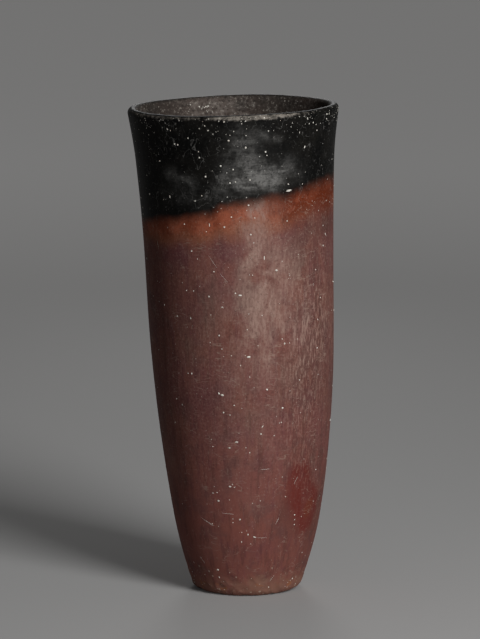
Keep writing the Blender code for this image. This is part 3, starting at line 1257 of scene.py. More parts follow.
@dataclass(frozen=True)
class Finish:
    """A finish of the clay, made once as a node group that takes a place and some of the wall's traits."""

    NAME: ClassVar[str]
    TRAITS: ClassVar[tuple[Trait, ...]]

    def start(self) -> Effect:
        """The finish's group, still empty.

        Returns:
            The group with its inputs and outputs.
        """
        inputs = tuple(trait.value.replace("_", " ").title() for trait in self.TRAITS)
        outputs = {"Colour": Effect.COLOUR, "Roughness": Effect.VALUE, "Height": Effect.VALUE}
        return Effect(self.NAME, inputs, outputs)

    def effect(self, shared: Effects) -> Effect:
        """The finish's group, which draws on the shared effects."""
        raise NotImplementedError

    def surface(self, bench: NodeBench, groups: dict[str, Effect], place: Socket) -> Surface:
        """The finish's group, out of all of them, in a material, fed with the wall's traits."""
        traits = {trait.value: bench.trait(trait) for trait in self.TRAITS}
        return Surface(*bench.put(groups[self.NAME], place, **traits))


@dataclass(frozen=True)
class RedSlip(Finish):
    """Ochre slip, burnished upright: plum in the middle, redder low down, orange under the black top."""

    NAME: ClassVar[str] = "red_slip"
    TRAITS: ClassVar[tuple[Trait, ...]] = (
        Trait.BELOW_BORDER,
        Trait.BLOOM,
        Trait.BLOTCH,
        Trait.SMOKE,
        Trait.STRIA,
        Trait.VIOLET,
        Trait.MOSS,
        Trait.HEEL,
    )
    DEEP: ClassVar[Colour] = (0.066, 0.028, 0.024)
    PALE: ClassVar[Colour] = (0.340, 0.250, 0.200)
    GOLD: ClassVar[Colour] = (0.260, 0.098, 0.044)
    VIOLET: ClassVar[Colour] = (0.128, 0.042, 0.048)

    plum: Colour = (0.168, 0.064, 0.056)
    russet: Coat = Coat((0.184, 0.073, 0.057))
    low_red: Coat = Coat((0.190, 0.064, 0.050), 0.75)
    dusk: Coat = Coat((0.112, 0.054, 0.050), 0.60)
    stroke_shade: Coat = Coat(DEEP, 0.40)
    violet_streak: Coat = Coat(VIOLET, 0.34)
    violet_patch: Coat = Coat(VIOLET, 0.80)
    moss: Coat = Coat((0.122, 0.092, 0.074), 0.90)
    blood: Coat = Coat((0.128, 0.022, 0.017))
    copper: Coat = Coat((0.158, 0.034, 0.016), 0.60)
    smoke: Coat = Coat((0.062, 0.030, 0.024), 0.70)
    orange: Colour = (0.300, 0.082, 0.042)
    ember: Coat = Coat((0.112, 0.018, 0.004))
    gold: Coat = Coat(GOLD)
    band_strength: float = 0.95
    # Pale grey of the blooms, which also serves as painted sheen of the key light.
    bloom: Coat = Coat((0.300, 0.190, 0.156), 0.80)
    stria_gap: Coat = Coat(DEEP, 0.55)
    stria_ridge: Coat = Coat(PALE, 0.50)
    dark_grain: Coat = Coat(DEEP)
    pale_grain: Coat = Coat(PALE, 0.55)
    scratch: Coat = Coat(PALE, 0.36)
    earth: Coat = Coat((0.205, 0.108, 0.076), 0.75)
    chip: Coat = Coat(GOLD, 0.60)
    crumb: Coat = Coat((0.400, 0.310, 0.240), 0.68)
    lime: Coat = Coat((0.600, 0.560, 0.500), 0.80)
    pore: Coat = Coat(DEEP, 0.55)
    burnish: Strokes = Strokes(0.0034, 0.034)
    fine_burnish: Strokes = Strokes(0.0012, 0.0046, 1.3)
    streaks: Strokes = Strokes(0.0022, 0.024, 5.6)
    wisps: Strokes = Strokes(0.014, 0.020)
    scratches: Strokes = Strokes(0.0016, 0.022)
    scratch_share: float = 0.014
    cross_scratches: Strokes = Strokes(0.014, 0.0040, 8.3)
    cross_share: float = 0.018
    russet_clouds: Clouds = Clouds(0.026, 0.38, 0.62, 4.0)
    dusk_clouds: Clouds = Clouds(0.013, 0.46, 0.70, 5.0, 0.6, 4.4)
    hot_clouds: Clouds = Clouds(0.010, 0.42, 0.62, 4.0, shift=5.1)
    chip_clouds: Clouds = Clouds(0.0040, 0.57, 0.67, shift=2.7)
    crumb_clouds: Clouds = Clouds(0.007, 0.42, 0.60, shift=4.1)
    low_red_heights: tuple[float, float] = (0.115, 0.040)
    grit_heights: tuple[float, float] = (0.025, 0.110)
    grain_size: float = 0.0013
    grain_shift: float = 2.2
    limes: tuple[Flecks, ...] = (
        Flecks(0.0040, 0.13, 0.13),
        Flecks(0.0020, 0.07, 0.15, 6.6, 0.55),
        Flecks(0.0011, 0.09, 0.26, 1.7, 0.32),
    )
    pores: Flecks = Flecks(0.0030, 0.22, 0.14, 7.9)
    crumbs: Flecks = Flecks(0.0026, 0.75, 0.36, 9.2)
    least_rough: float = 0.51

    def effect(self, shared: Effects) -> Effect:
        """The slip as a node group.

        Args:
            shared: The effects that it draws on.

        Returns:
            The group, which takes a place and the wall's traits.
        """
        effect = self.start()
        bench, given = effect.bench, effect.inputs
        place, stria = given["Place"], given["Stria"]
        stroke = self.burnish.mask(bench, shared.strokes, place)
        fine = self.fine_burnish.mask(bench, shared.strokes, place)
        upright = self.streaks.mask(bench, shared.strokes, place)
        streak = bench.ease(fine, 0.42, 0.60)
        wisp = self.wisps.mask(bench, shared.wisps, place)
        above = bench.add("ShaderNodeSeparateXYZ")
        bench.feed(above.inputs[0], place)
        height = above.outputs[2]
        colour = self.ground(bench, place, height, stroke)
        colour = self.tints(bench, given, upright, wisp, colour)
        # Veil of the blooms: partly grey blooming of the slip, partly painted sheen where the key light's
        # highlight falls.
        veil = bench.times(given["Bloom"], wisp, bench.ramp(streak, 0.35, 0.65))
        colour = self.bloom.over(bench, colour, veil)
        colour = self.stria_gap.over(bench, colour, stria, bench.rest(streak))
        colour = self.stria_ridge.over(bench, colour, stria, bench.ease(fine, 0.52, 0.68))
        colour = self.grit(bench, shared, place, height, colour)
        line = bench.most(
            self.scratches.mask(bench, shared.lines, place, share=self.scratch_share),
            self.cross_scratches.mask(bench, shared.lines, place, share=self.cross_share),
        )
        colour = self.scratch.over(bench, colour, line)
        worn = self.heel_wear(bench, given["Heel"], place)
        colour = self.heel_chips(bench, shared, given, self.earth.over(bench, colour, worn))
        fleck = bench.most(*(lime.mask(bench, shared, place) for lime in self.limes))
        colour = self.lime.over(bench, colour, fleck)
        pore = self.pores.mask(bench, shared, place)
        colour = self.pore.over(bench, colour, pore)
        rough = bench.weighed((stroke, 0.14), (veil, 0.12), (bench.most(fleck, worn), 0.26))
        relief = bench.weighed(
            (stroke, 0.040),
            (bench.cloud(place, 0.0012), 0.018),
            (fine, bench.ramp(stria, 0.030, 0.008)),
            (fleck, 0.04),
            (pore, -0.09),
            (worn, -0.09),
            (line, -0.025),
        )
        rough = bench.total(rough, self.least_rough)
        return effect.put_out(colour=colour, roughness=rough, height=relief)

    def ground(self, bench: NodeBench, place: Socket, height: Socket, stroke: Socket) -> Socket:
        """Plum, russet and dusky clouds, redder low down, with darker burnish strokes.

        Args:
            bench: The bench in the group's tree.
            place: The point's place.
            height: The point's height.
            stroke: The burnish strokes.

        Returns:
            The slip's ground colour.
        """
        colour = self.russet.over(bench, self.plum, self.russet_clouds.mask(bench, place))
        colour = self.low_red.over(bench, colour, bench.ease(height, *self.low_red_heights))
        colour = self.dusk.over(bench, colour, self.dusk_clouds.mask(bench, place))
        return self.stroke_shade.over(bench, colour, bench.ease(stroke, 0.52, 0.34))

    def tints(
        self, bench: NodeBench, given: Sockets, upright: Socket, wisp: Socket, colour: Socket
    ) -> Socket:
        """What the fire did to the slip: violet and mossy tints, the red blotch, smoke and the orange band.

        Args:
            bench: The bench in the group's tree.
            given: The group's inputs.
            upright: Upright streaks.
            wisp: Soft wisps.
            colour: The slip's colour so far.

        Returns:
            The colour with the tints.
        """
        colour = self.violet_streak.over(bench, colour, bench.ease(upright, 0.50, 0.66))
        colour = self.violet_patch.over(bench, colour, given["Violet"])
        colour = self.moss.over(bench, colour, given["Moss"], wisp)
        colour = self.red_blotch(bench, given, upright, colour)
        spared = bench.ramp(bench.ease(given["Blotch"], 0.2, 1.0), -0.60, 1.0)
        colour = self.smoke.over(bench, colour, given["Smoke"], spared, bench.ramp(wisp, 0.5, 0.5))
        return self.fire_band(bench, given, colour)

    def fire_band(self, bench: NodeBench, given: Sockets, colour: Socket) -> Socket:
        """Orange from the black top's edge down, golden at its lower side, fading into the plum.

        Args:
            bench: The bench in the group's tree.
            given: The group's inputs.
            colour: The slip's colour so far.

        Returns:
            The colour with the band.
        """
        place, smoke = given["Place"], given["Smoke"]
        drift = bench.ramp(bench.cloud(place, 0.016, 4.0), 0.7, -0.35)
        drift = bench.total(given["Below Border"], drift)
        hot = bench.weighed((self.hot_clouds.mask(bench, place), 0.55), (smoke, 1.5))
        band = self.ember.over(bench, self.orange, bench.math("MINIMUM", hot, 1.0))
        spared = bench.math("SUBTRACT", 0.8, bench.math("MINIMUM", smoke, 0.75))
        band = self.gold.over(bench, band, bench.ease(drift, 0.45, 0.95), spared)
        return bench.blend(bench.times(bench.ease(drift, 1.30, 0.45), self.band_strength), colour, band)

    def red_blotch(self, bench: NodeBench, given: Sockets, upright: Socket, colour: Socket) -> Socket:
        """Bright red slip that the smoke spared, soft at its edge, with copper in its middle.

        Args:
            bench: The bench in the group's tree.
            given: The group's inputs.
            upright: Upright streaks.
            colour: The slip's colour so far.

        Returns:
            The colour with the blotch.
        """
        blotch = given["Blotch"]
        ragged = bench.ramp(bench.cloud(given["Place"], 0.009, 5.0, 0.6), 0.5, -0.25)
        level = bench.total(blotch, ragged)
        core = bench.times(bench.ease(level, 0.10, 0.90), bench.ease(blotch, 0.0, 0.3))
        streaked = bench.ramp(bench.ease(upright, 0.60, 0.40), 0.28, 0.70)
        colour = self.blood.over(bench, colour, core, streaked)
        return self.copper.over(bench, colour, bench.ease(level, 1.55, 2.45))

    def grit(
        self, bench: NodeBench, shared: Effects, place: Socket, height: Socket, colour: Socket
    ) -> Socket:
        """The clay's grain through the slip, weaker low down.

        Args:
            bench: The bench in the group's tree.
            shared: The effects.
            place: The point's place.
            height: The point's height.
            colour: The slip's colour so far.

        Returns:
            The colour with the grain.
        """
        grain = bench.put(shared.grain, place, self.grain_shift, size=self.grain_size)
        gritty = bench.ramp(bench.ease(height, *self.grit_heights), 0.36, 0.10)
        colour = self.dark_grain.over(bench, colour, grain["Dark"], gritty)
        return self.pale_grain.over(bench, colour, grain["Pale"], gritty)

    def heel_wear(self, bench: NodeBench, heel: Socket, place: Socket) -> Socket:
        """Where the slip has worn off the heel, in ragged patches.

        Args:
            bench: The bench in the group's tree.
            heel: The heel trait.
            place: The point's place.

        Returns:
            The mask of the wear.
        """
        coarse, fine = bench.cloud(place, 0.012, 4.0), bench.cloud(place, 0.0028, 4.0, 0.7)
        worn = bench.weighed((heel, 0.9), (coarse, 2.0), (fine, 1.2))
        return bench.times(bench.ease(worn, 1.80, 2.75), bench.ease(heel, 0.0, 0.4))

    def heel_chips(self, bench: NodeBench, shared: Effects, given: Sockets, colour: Socket) -> Socket:
        """Golden chips and pale crumbs of bare clay along the heel.

        Args:
            bench: The bench in the group's tree.
            shared: The effects.
            given: The group's inputs.
            colour: The slip's colour so far.

        Returns:
            The colour with the chips and crumbs.
        """
        place, heel = given["Place"], given["Heel"]
        chips = self.chip_clouds.mask(bench, place)
        colour = self.chip.over(bench, colour, chips, bench.ease(heel, 0.62, 0.98))
        crumbs = self.crumbs.mask(bench, shared, place, heel)
        return self.crumb.over(bench, colour, crumbs, self.crumb_clouds.mask(bench, place))


@dataclass(frozen=True)
class BlackTop(Finish):
    """Carbon-black burnished clay with grey scuffs and painted sheen in them, and lime flecks."""

    NAME: ClassVar[str] = "black_top"
    TRAITS: ClassVar[tuple[Trait, ...]] = (Trait.SCUFF_AND_SHEEN,)
    GREY: ClassVar[Colour] = (0.150, 0.146, 0.139)

    black: Colour = (0.0030, 0.0030, 0.0028)
    char: Coat = Coat((0.0070, 0.0065, 0.0056))
    haze: Coat = Coat(GREY, 0.05)
    pale_grain: Coat = Coat(GREY, 0.07)
    dust: Coat = Coat(GREY)
    # Grey of the scuffs, which also serves as painted sheen.
    scuff: Coat = Coat(GREY, 0.80)
    scratch: Coat = Coat(GREY, 0.50)
    lime: Coat = Coat((0.560, 0.545, 0.510), 0.85)
    burnish: Strokes = Strokes(0.0040, 0.018)
    wisps: Strokes = Strokes(0.0090, 0.0080)
    smears: Strokes = Strokes(0.0030, 0.0026, 2.9)
    level_wisps: Strokes = Strokes(0.0040, 0.0016, 7.7)
    upright_wisps: Strokes = Strokes(0.0014, 0.0032, 3.9)
    brush_marks: Strokes = Strokes(0.0075, 0.0014, 8.8)
    scratches: Strokes = Strokes(0.0060, 0.0090)
    scratch_share: float = 0.012
    char_clouds: Clouds = Clouds(0.014, 0.40, 0.64, 5.0)
    haze_clouds: Clouds = Clouds(0.007, 0.54, 0.76, 7.0, 0.72, 6.1)
    grain_size: float = 0.0012
    grain_shift: float = 5.2
    film_patch: float = 0.0021
    film_cover: float = 0.22
    film_shift: float = 4.8
    limes: tuple[Flecks, ...] = (
        Flecks(0.0036, 0.16, 0.13),
        Flecks(0.0019, 0.22, 0.17, 6.6, 0.70),
        Flecks(0.0011, 0.13, 0.26, 1.7, 0.26),
    )
    least_rough: float = 0.43

    def effect(self, shared: Effects) -> Effect:
        """The black top as a node group.

        Args:
            shared: The effects that it draws on.

        Returns:
            The group, which takes a place and the trait of scuffs and painted sheen.
        """
        effect = self.start()
        bench, place = effect.bench, effect.inputs["Place"]
        stroke = self.burnish.mask(bench, shared.strokes, place)
        wisp = self.wisps.mask(bench, shared.wisps, place)
        grain = bench.put(shared.grain, place, self.grain_shift, size=self.grain_size)
        colour = self.char.over(bench, self.black, self.char_clouds.mask(bench, place))
        colour = self.haze.over(bench, colour, self.haze_clouds.mask(bench, place))
        colour = self.pale_grain.over(bench, colour, grain["Pale"])
        dusty = bench.use(
            shared.film, place, self.film_shift, patch=self.film_patch, cover=self.film_cover
        )
        colour = self.dust.over(bench, colour, dusty, bench.ramp(wisp, 0.30, 0.08))
        # Grey scuffs, partly painted sheen of the key light's highlight on the black.
        scuff_and_sheen_breakup = self.scuff_and_sheen_breakup(bench, shared, place, grain)
        scuff_and_sheen_share = bench.times(effect.inputs["Scuff"], bench.total(wisp, 0.25), scuff_and_sheen_breakup)
        colour = self.scuff.over(bench, colour, scuff_and_sheen_share)
        line = self.scratches.mask(bench, shared.lines, place, share=self.scratch_share)
        colour = self.scratch.over(bench, colour, line)
        fleck = bench.most(*(lime.mask(bench, shared, place) for lime in self.limes))
        colour = self.lime.over(bench, colour, fleck)
        rough = bench.weighed((stroke, 0.14), (bench.most(scuff_and_sheen_share, fleck), 0.20))
        rough = bench.total(rough, self.least_rough)
        relief = bench.weighed(
            (stroke, 0.040), (bench.cloud(place, 0.0012), 0.022), (fleck, 0.04), (line, -0.03)
        )
        return effect.put_out(colour=colour, roughness=rough, height=relief)

    def scuff_and_sheen_breakup(self, bench: NodeBench, shared: Effects, place: Socket, grain: Sockets) -> Socket:
        """How far the scuffs and their painted sheen break through: smears, wisps, brush marks and the
        clay's grain.

        Args:
            bench: The bench in the group's tree.
            shared: The effects.
            place: The point's place.
            grain: The outputs of the clay's grain.

        Returns:
            How strong the scuffs and their painted sheen are.
        """
        smear, level, upright = (
            strokes.mask(bench, shared.wisps, place)
            for strokes in (self.smears, self.level_wisps, self.upright_wisps)
        )
        brushed = bench.ease(self.brush_marks.mask(bench, shared.strokes, place), 0.42, 0.62)
        marks = bench.weighed(
            (smear, 0.35),
            (level, 0.35),
            (upright, 0.30),
            (brushed, 0.34),
            (grain["Pale"], 0.50),
            (grain["Dark"], -0.25),
        )
        return bench.total(marks, 0.12)


@dataclass(frozen=True)
class SootedInside(Finish):
    """Wiped clay inside the beaker, sooty and dusty."""

    NAME: ClassVar[str] = "sooted_inside"
    TRAITS: ClassVar[tuple[Trait, ...]] = (Trait.SMOKE,)
    SOOT: ClassVar[Colour] = (0.026, 0.022, 0.019)
    CRUMB: ClassVar[Colour] = (0.420, 0.390, 0.340)

    umber: Coat = Coat((0.066, 0.048, 0.040))
    dust: Coat = Coat((0.165, 0.140, 0.124), 0.95)
    smoke: Coat = Coat(SOOT, 0.60)
    dark_grain: Coat = Coat(SOOT, 0.85)
    pale_grain: Coat = Coat(CRUMB, 0.42)
    crumb: Coat = Coat(CRUMB, 0.55)
    wipes: Strokes = Strokes(0.030, 0.0028)
    wisps: Strokes = Strokes(0.012, 0.007)
    umber_clouds: Clouds = Clouds(0.020, 0.40, 0.62)
    grain_size: float = 0.0016
    film_patch: float = 0.0030
    film_cover: float = 0.58
    crumbs: Flecks = Flecks(0.0024, 0.26, 0.24)
    least_rough: float = 0.70

    def effect(self, shared: Effects) -> Effect:
        """The inside as a node group.

        Args:
            shared: The effects that it draws on.

        Returns:
            The group, which takes a place and the smoke trait.
        """
        effect = self.start()
        bench, place, smoke = effect.bench, effect.inputs["Place"], effect.inputs["Smoke"]
        wipe = self.wipes.mask(bench, shared.strokes, place)
        wisp = self.wisps.mask(bench, shared.wisps, place)
        film = bench.use(shared.film, place, patch=self.film_patch, cover=self.film_cover)
        colour = self.umber.over(bench, self.SOOT, self.umber_clouds.mask(bench, place))
        wiped = bench.ramp(bench.ease(wipe, 0.36, 0.58), 0.4, 0.6)
        veil = bench.times(bench.weighed((wisp, 0.5), (film, 0.5)), wiped, bench.ramp(smoke, -0.65, 1.0))
        colour = self.dust.over(bench, colour, veil)
        colour = self.smoke.over(bench, colour, bench.ease(smoke, 0.0, 1.2))
        grain = bench.put(shared.grain, place, size=self.grain_size)
        colour = self.dark_grain.over(bench, colour, grain["Dark"])
        colour = self.pale_grain.over(bench, colour, grain["Pale"])
        fleck = self.crumbs.mask(bench, shared, place)
        colour = self.crumb.over(bench, colour, fleck)
        rough = bench.ramp(veil, 0.15, self.least_rough)
        relief = bench.weighed((wipe, 0.12), (bench.cloud(place, 0.0014, 4.0), 0.05), (fleck, 0.06))
        return effect.put_out(colour=colour, roughness=rough, height=relief)


def new_material(name: str) -> tuple[bpy.types.Material, NodeBench, Sockets]:
    """A new material, a bench in its tree and the inputs of its shader.

    Args:
        name: The material's name.

    Returns:
        The three of them.
    """
    material = bpy.data.materials.new(name)
    material.use_nodes = True
    tree = material.node_tree
    return material, NodeBench(tree), tree.nodes["Principled BSDF"].inputs


def bumped(bench: NodeBench, height: Socket, distance: float) -> Socket:
    """Normal of a relief, from its heights and the distance that a height of 1 stands for.

    Args:
        bench: The bench in the material's tree.
        height: The relief's heights.
        distance: What a height of 1 stands for, in metres.

    Returns:
        The normal.
    """
    bump = bench.add("ShaderNodeBump")
    bench.feed_all(bump.inputs, distance=distance, height=height)
    return bump.outputs[0]


@dataclass(frozen=True)
class LimeChalk:
    """Chalky lime that weathered out of the clay, soiled in its hollows."""

    chalk: Colour = (0.720, 0.690, 0.620)
    soil: Coat = Coat((0.330, 0.265, 0.215), 0.80)
    soil_clouds: Clouds = Clouds(0.0012, 0.48, 0.72, 4.0, 0.65)
    roughness: float = 0.9
    pit_size: float = 0.0004
    relief: float = 0.0001

    def material(self) -> bpy.types.Material:
        """The grains' material.

        Returns:
            The material.
        """
        material, bench, shader = new_material("lime_chalk")
        place = bench.place()
        colour = self.soil.over(bench, self.chalk, self.soil_clouds.mask(bench, place))
        normal = bumped(bench, bench.cloud(place, self.pit_size), self.relief)
        bench.feed_all(shader, base_color=colour, roughness=self.roughness, normal=normal)
        return material


class Zone(Enum):
    """Which finishes a stretch of wall shows on its outside."""

    RED = "red_slip_clay"
    BORDER = "fire_border_clay"
    BLACK = "black_top_clay"


@dataclass
class ClayFinishes:
    """The materials of the wall, one for each zone, all from the same three finishes."""

    red: RedSlip = field(default_factory=RedSlip)
    black: BlackTop = field(default_factory=BlackTop)
    inside: SootedInside = field(default_factory=SootedInside)
    lip: Coat = Coat((0.245, 0.218, 0.188), 0.95)
    lip_grit: Coat = Coat((0.480, 0.450, 0.400), 0.75)
    lip_film_patch: float = 0.0026
    lip_wisps: Strokes = Strokes(0.0075, 0.0032)
    lip_clouds: Clouds = Clouds(0.0013, 0.38, 0.56, 3.0, 0.7, 8.3)
    lip_grains: Flecks = Flecks(0.0015, 0.62, 0.34)
    lip_roughness: float = 0.8
    relief: float = 0.001
    gloss: float = 0.05
    materials: dict[Zone, bpy.types.Material] = field(init=False, default_factory=dict)

    def build(self) -> None:
        """Makes the shared groups once, and each zone's material from them."""
        shared = Effects()
        groups = {finish.NAME: finish.effect(shared) for finish in (self.red, self.black, self.inside)}
        for zone in Zone:
            self.materials[zone] = self.clay(zone, shared, groups)

    def clay(self, zone: Zone, shared: Effects, groups: dict[str, Effect]) -> bpy.types.Material:
        """One zone's material.

        Args:
            zone: The stretch of wall.
            shared: The effects.
            groups: The finishes' groups by their names.

        Returns:
            The material.
        """
        material, bench, shader = new_material(zone.value)
        place = bench.place()
        outside = self.black if zone is Zone.BLACK else self.red
        surface = outside.surface(bench, groups, place)
        if zone is Zone.BORDER:
            soot = self.black.surface(bench, groups, place)
            surface = surface.under(bench, self.soot_edge(bench, place), soot)
        sooted = self.inside.surface(bench, groups, place)
        surface = surface.under(bench, bench.trait(Trait.INSIDE), sooted)
        if zone is Zone.BLACK:
            surface = self.worn_lip(bench, shared, place, surface)
        normal = bumped(bench, surface.relief, self.relief)
        bench.feed_all(shader, base_color=surface.colour, roughness=surface.rough, normal=normal)
        shader["Specular IOR Level"].default_value = self.gloss
        return material

    def soot_edge(self, bench: NodeBench, place: Socket) -> Socket:
        """How much of the black top covers the slip, with a ragged lower edge."""
        ragged = bench.ramp(bench.cloud(place, 0.010, 5.0), 0.22, -0.11)
        return bench.ease(bench.total(bench.trait(Trait.BELOW_BORDER), ragged), 0.38, -0.15)

    def worn_lip(self, bench: NodeBench, shared: Effects, place: Socket, clay: Surface) -> Surface:
        """The clay with the lip's pale, gritty crust of wear over it.

        Args:
            bench: The bench in the material's tree.
            shared: The effects.
            place: The point's place.
            clay: The surface below the crust.

        Returns:
            The surface with the crust.
        """
        lip = bench.trait(Trait.LIP)
        cover = bench.math("MINIMUM", bench.times(lip, 0.90), 0.84)
        film = bench.use(shared.film, place, patch=self.lip_film_patch, cover=cover)
        thinned = bench.ramp(self.lip_wisps.mask(bench, shared.wisps, place), 0.60, 0.45)
        broken = bench.ramp(self.lip_clouds.mask(bench, place), 0.66, 0.50)
        worn = bench.times(film, bench.ease(lip, 0.25, 0.80), thinned, broken)
        grit = self.lip_grains.mask(bench, shared, place, lip)
        colour = self.lip_grit.over(bench, self.lip.over(bench, clay.colour, worn), grit)
        rough = bench.between(bench.most(worn, grit), clay.rough, self.lip_roughness)
        return Surface(colour, rough, bench.total(clay.relief, bench.weighed((worn, -0.05), (grit, 0.06))))


class Slot(Enum):
    """The record's material slots."""

    RED_SLIP = "red_slip"
    BLACK_TOP = "black_top"


@dataclass
class Course:
    """One course of clay, which stands for the solid of the same name."""

    wall: ClayWall
    finishes: ClayFinishes
    node: str
    slot: Slot
    zone: Zone

    def runs(self) -> tuple[tuple[int, int], ...]:
        """First and last row of each stretch of wall on this course."""
        raise NotImplementedError

    def build(self) -> bpy.types.Object:
        """Cuts the course out of the wall, dresses it and seats it in the frame.

        Returns:
            The piece.
        """
        piece = self.wall.cut(f"{self.node}_clay", self.runs())
        piece.data.materials.append(self.finishes.materials[self.zone])
        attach(piece, "root")
        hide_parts(self.node)
        return piece


@dataclass
class BasePad(Course):
    """The floor, the heel and the foot of the wall."""

    def runs(self) -> tuple[tuple[int, int], ...]:
        """From the middle of the floor to the first joint, and from there under the foot."""
        wall = self.wall
        return (0, wall.inside_joints[0]), (wall.outside_joints[0], len(wall.rows) - 1)


@dataclass
class WallCourse(Course):
    """One ring of the wall, between two lapped joints."""

    index: int = 1

    def runs(self) -> tuple[tuple[int, int], ...]:
        """Up the inside and down the outside, between the joints below and above.

        Returns:
            The run inside, then the run outside.
        """
        inside, outside = self.wall.inside_joints, self.wall.outside_joints
        low, high = self.index - 1, self.index
        return (inside[low], inside[high]), (outside[high], outside[low])


@dataclass
class RimCourse(Course):
    """The flared mouth, with its worn lip."""

    def runs(self) -> tuple[tuple[int, int], ...]:
        """From the last joint over the lip and back to it."""
        top = self.wall.shape.courses
        return ((self.wall.inside_joints[top], self.wall.outside_joints[top]),)


@dataclass(frozen=True)
class Grain:
    """A lime grain in the photograph: its pixel, its width in millimetres, its stretch and its slant."""

    x: float
    y: float
    width: float
    stretch: float = 1.0
    slant: float = 0.0


@dataclass(frozen=True)
class Scatter:
    """A stretch of wall with lime grains that can't be read one by one from the photograph."""

    count: int
    turns: tuple[float, float]
    heights: tuple[float, float]
    widths: tuple[float, float]
    side: Side = Side.OUTSIDE
    stretches: tuple[float, float] = (0.6, 1.8)
    slants: tuple[float, float] = (-40.0, 40.0)


@dataclass(frozen=True)
class Seat:
    """Where a grain sits on the wall, its width in metres, its stretch, its slant and its side."""

    turn: float
    z: float
    width: float
    stretch: float
    slant: float
    side: Side = Side.OUTSIDE


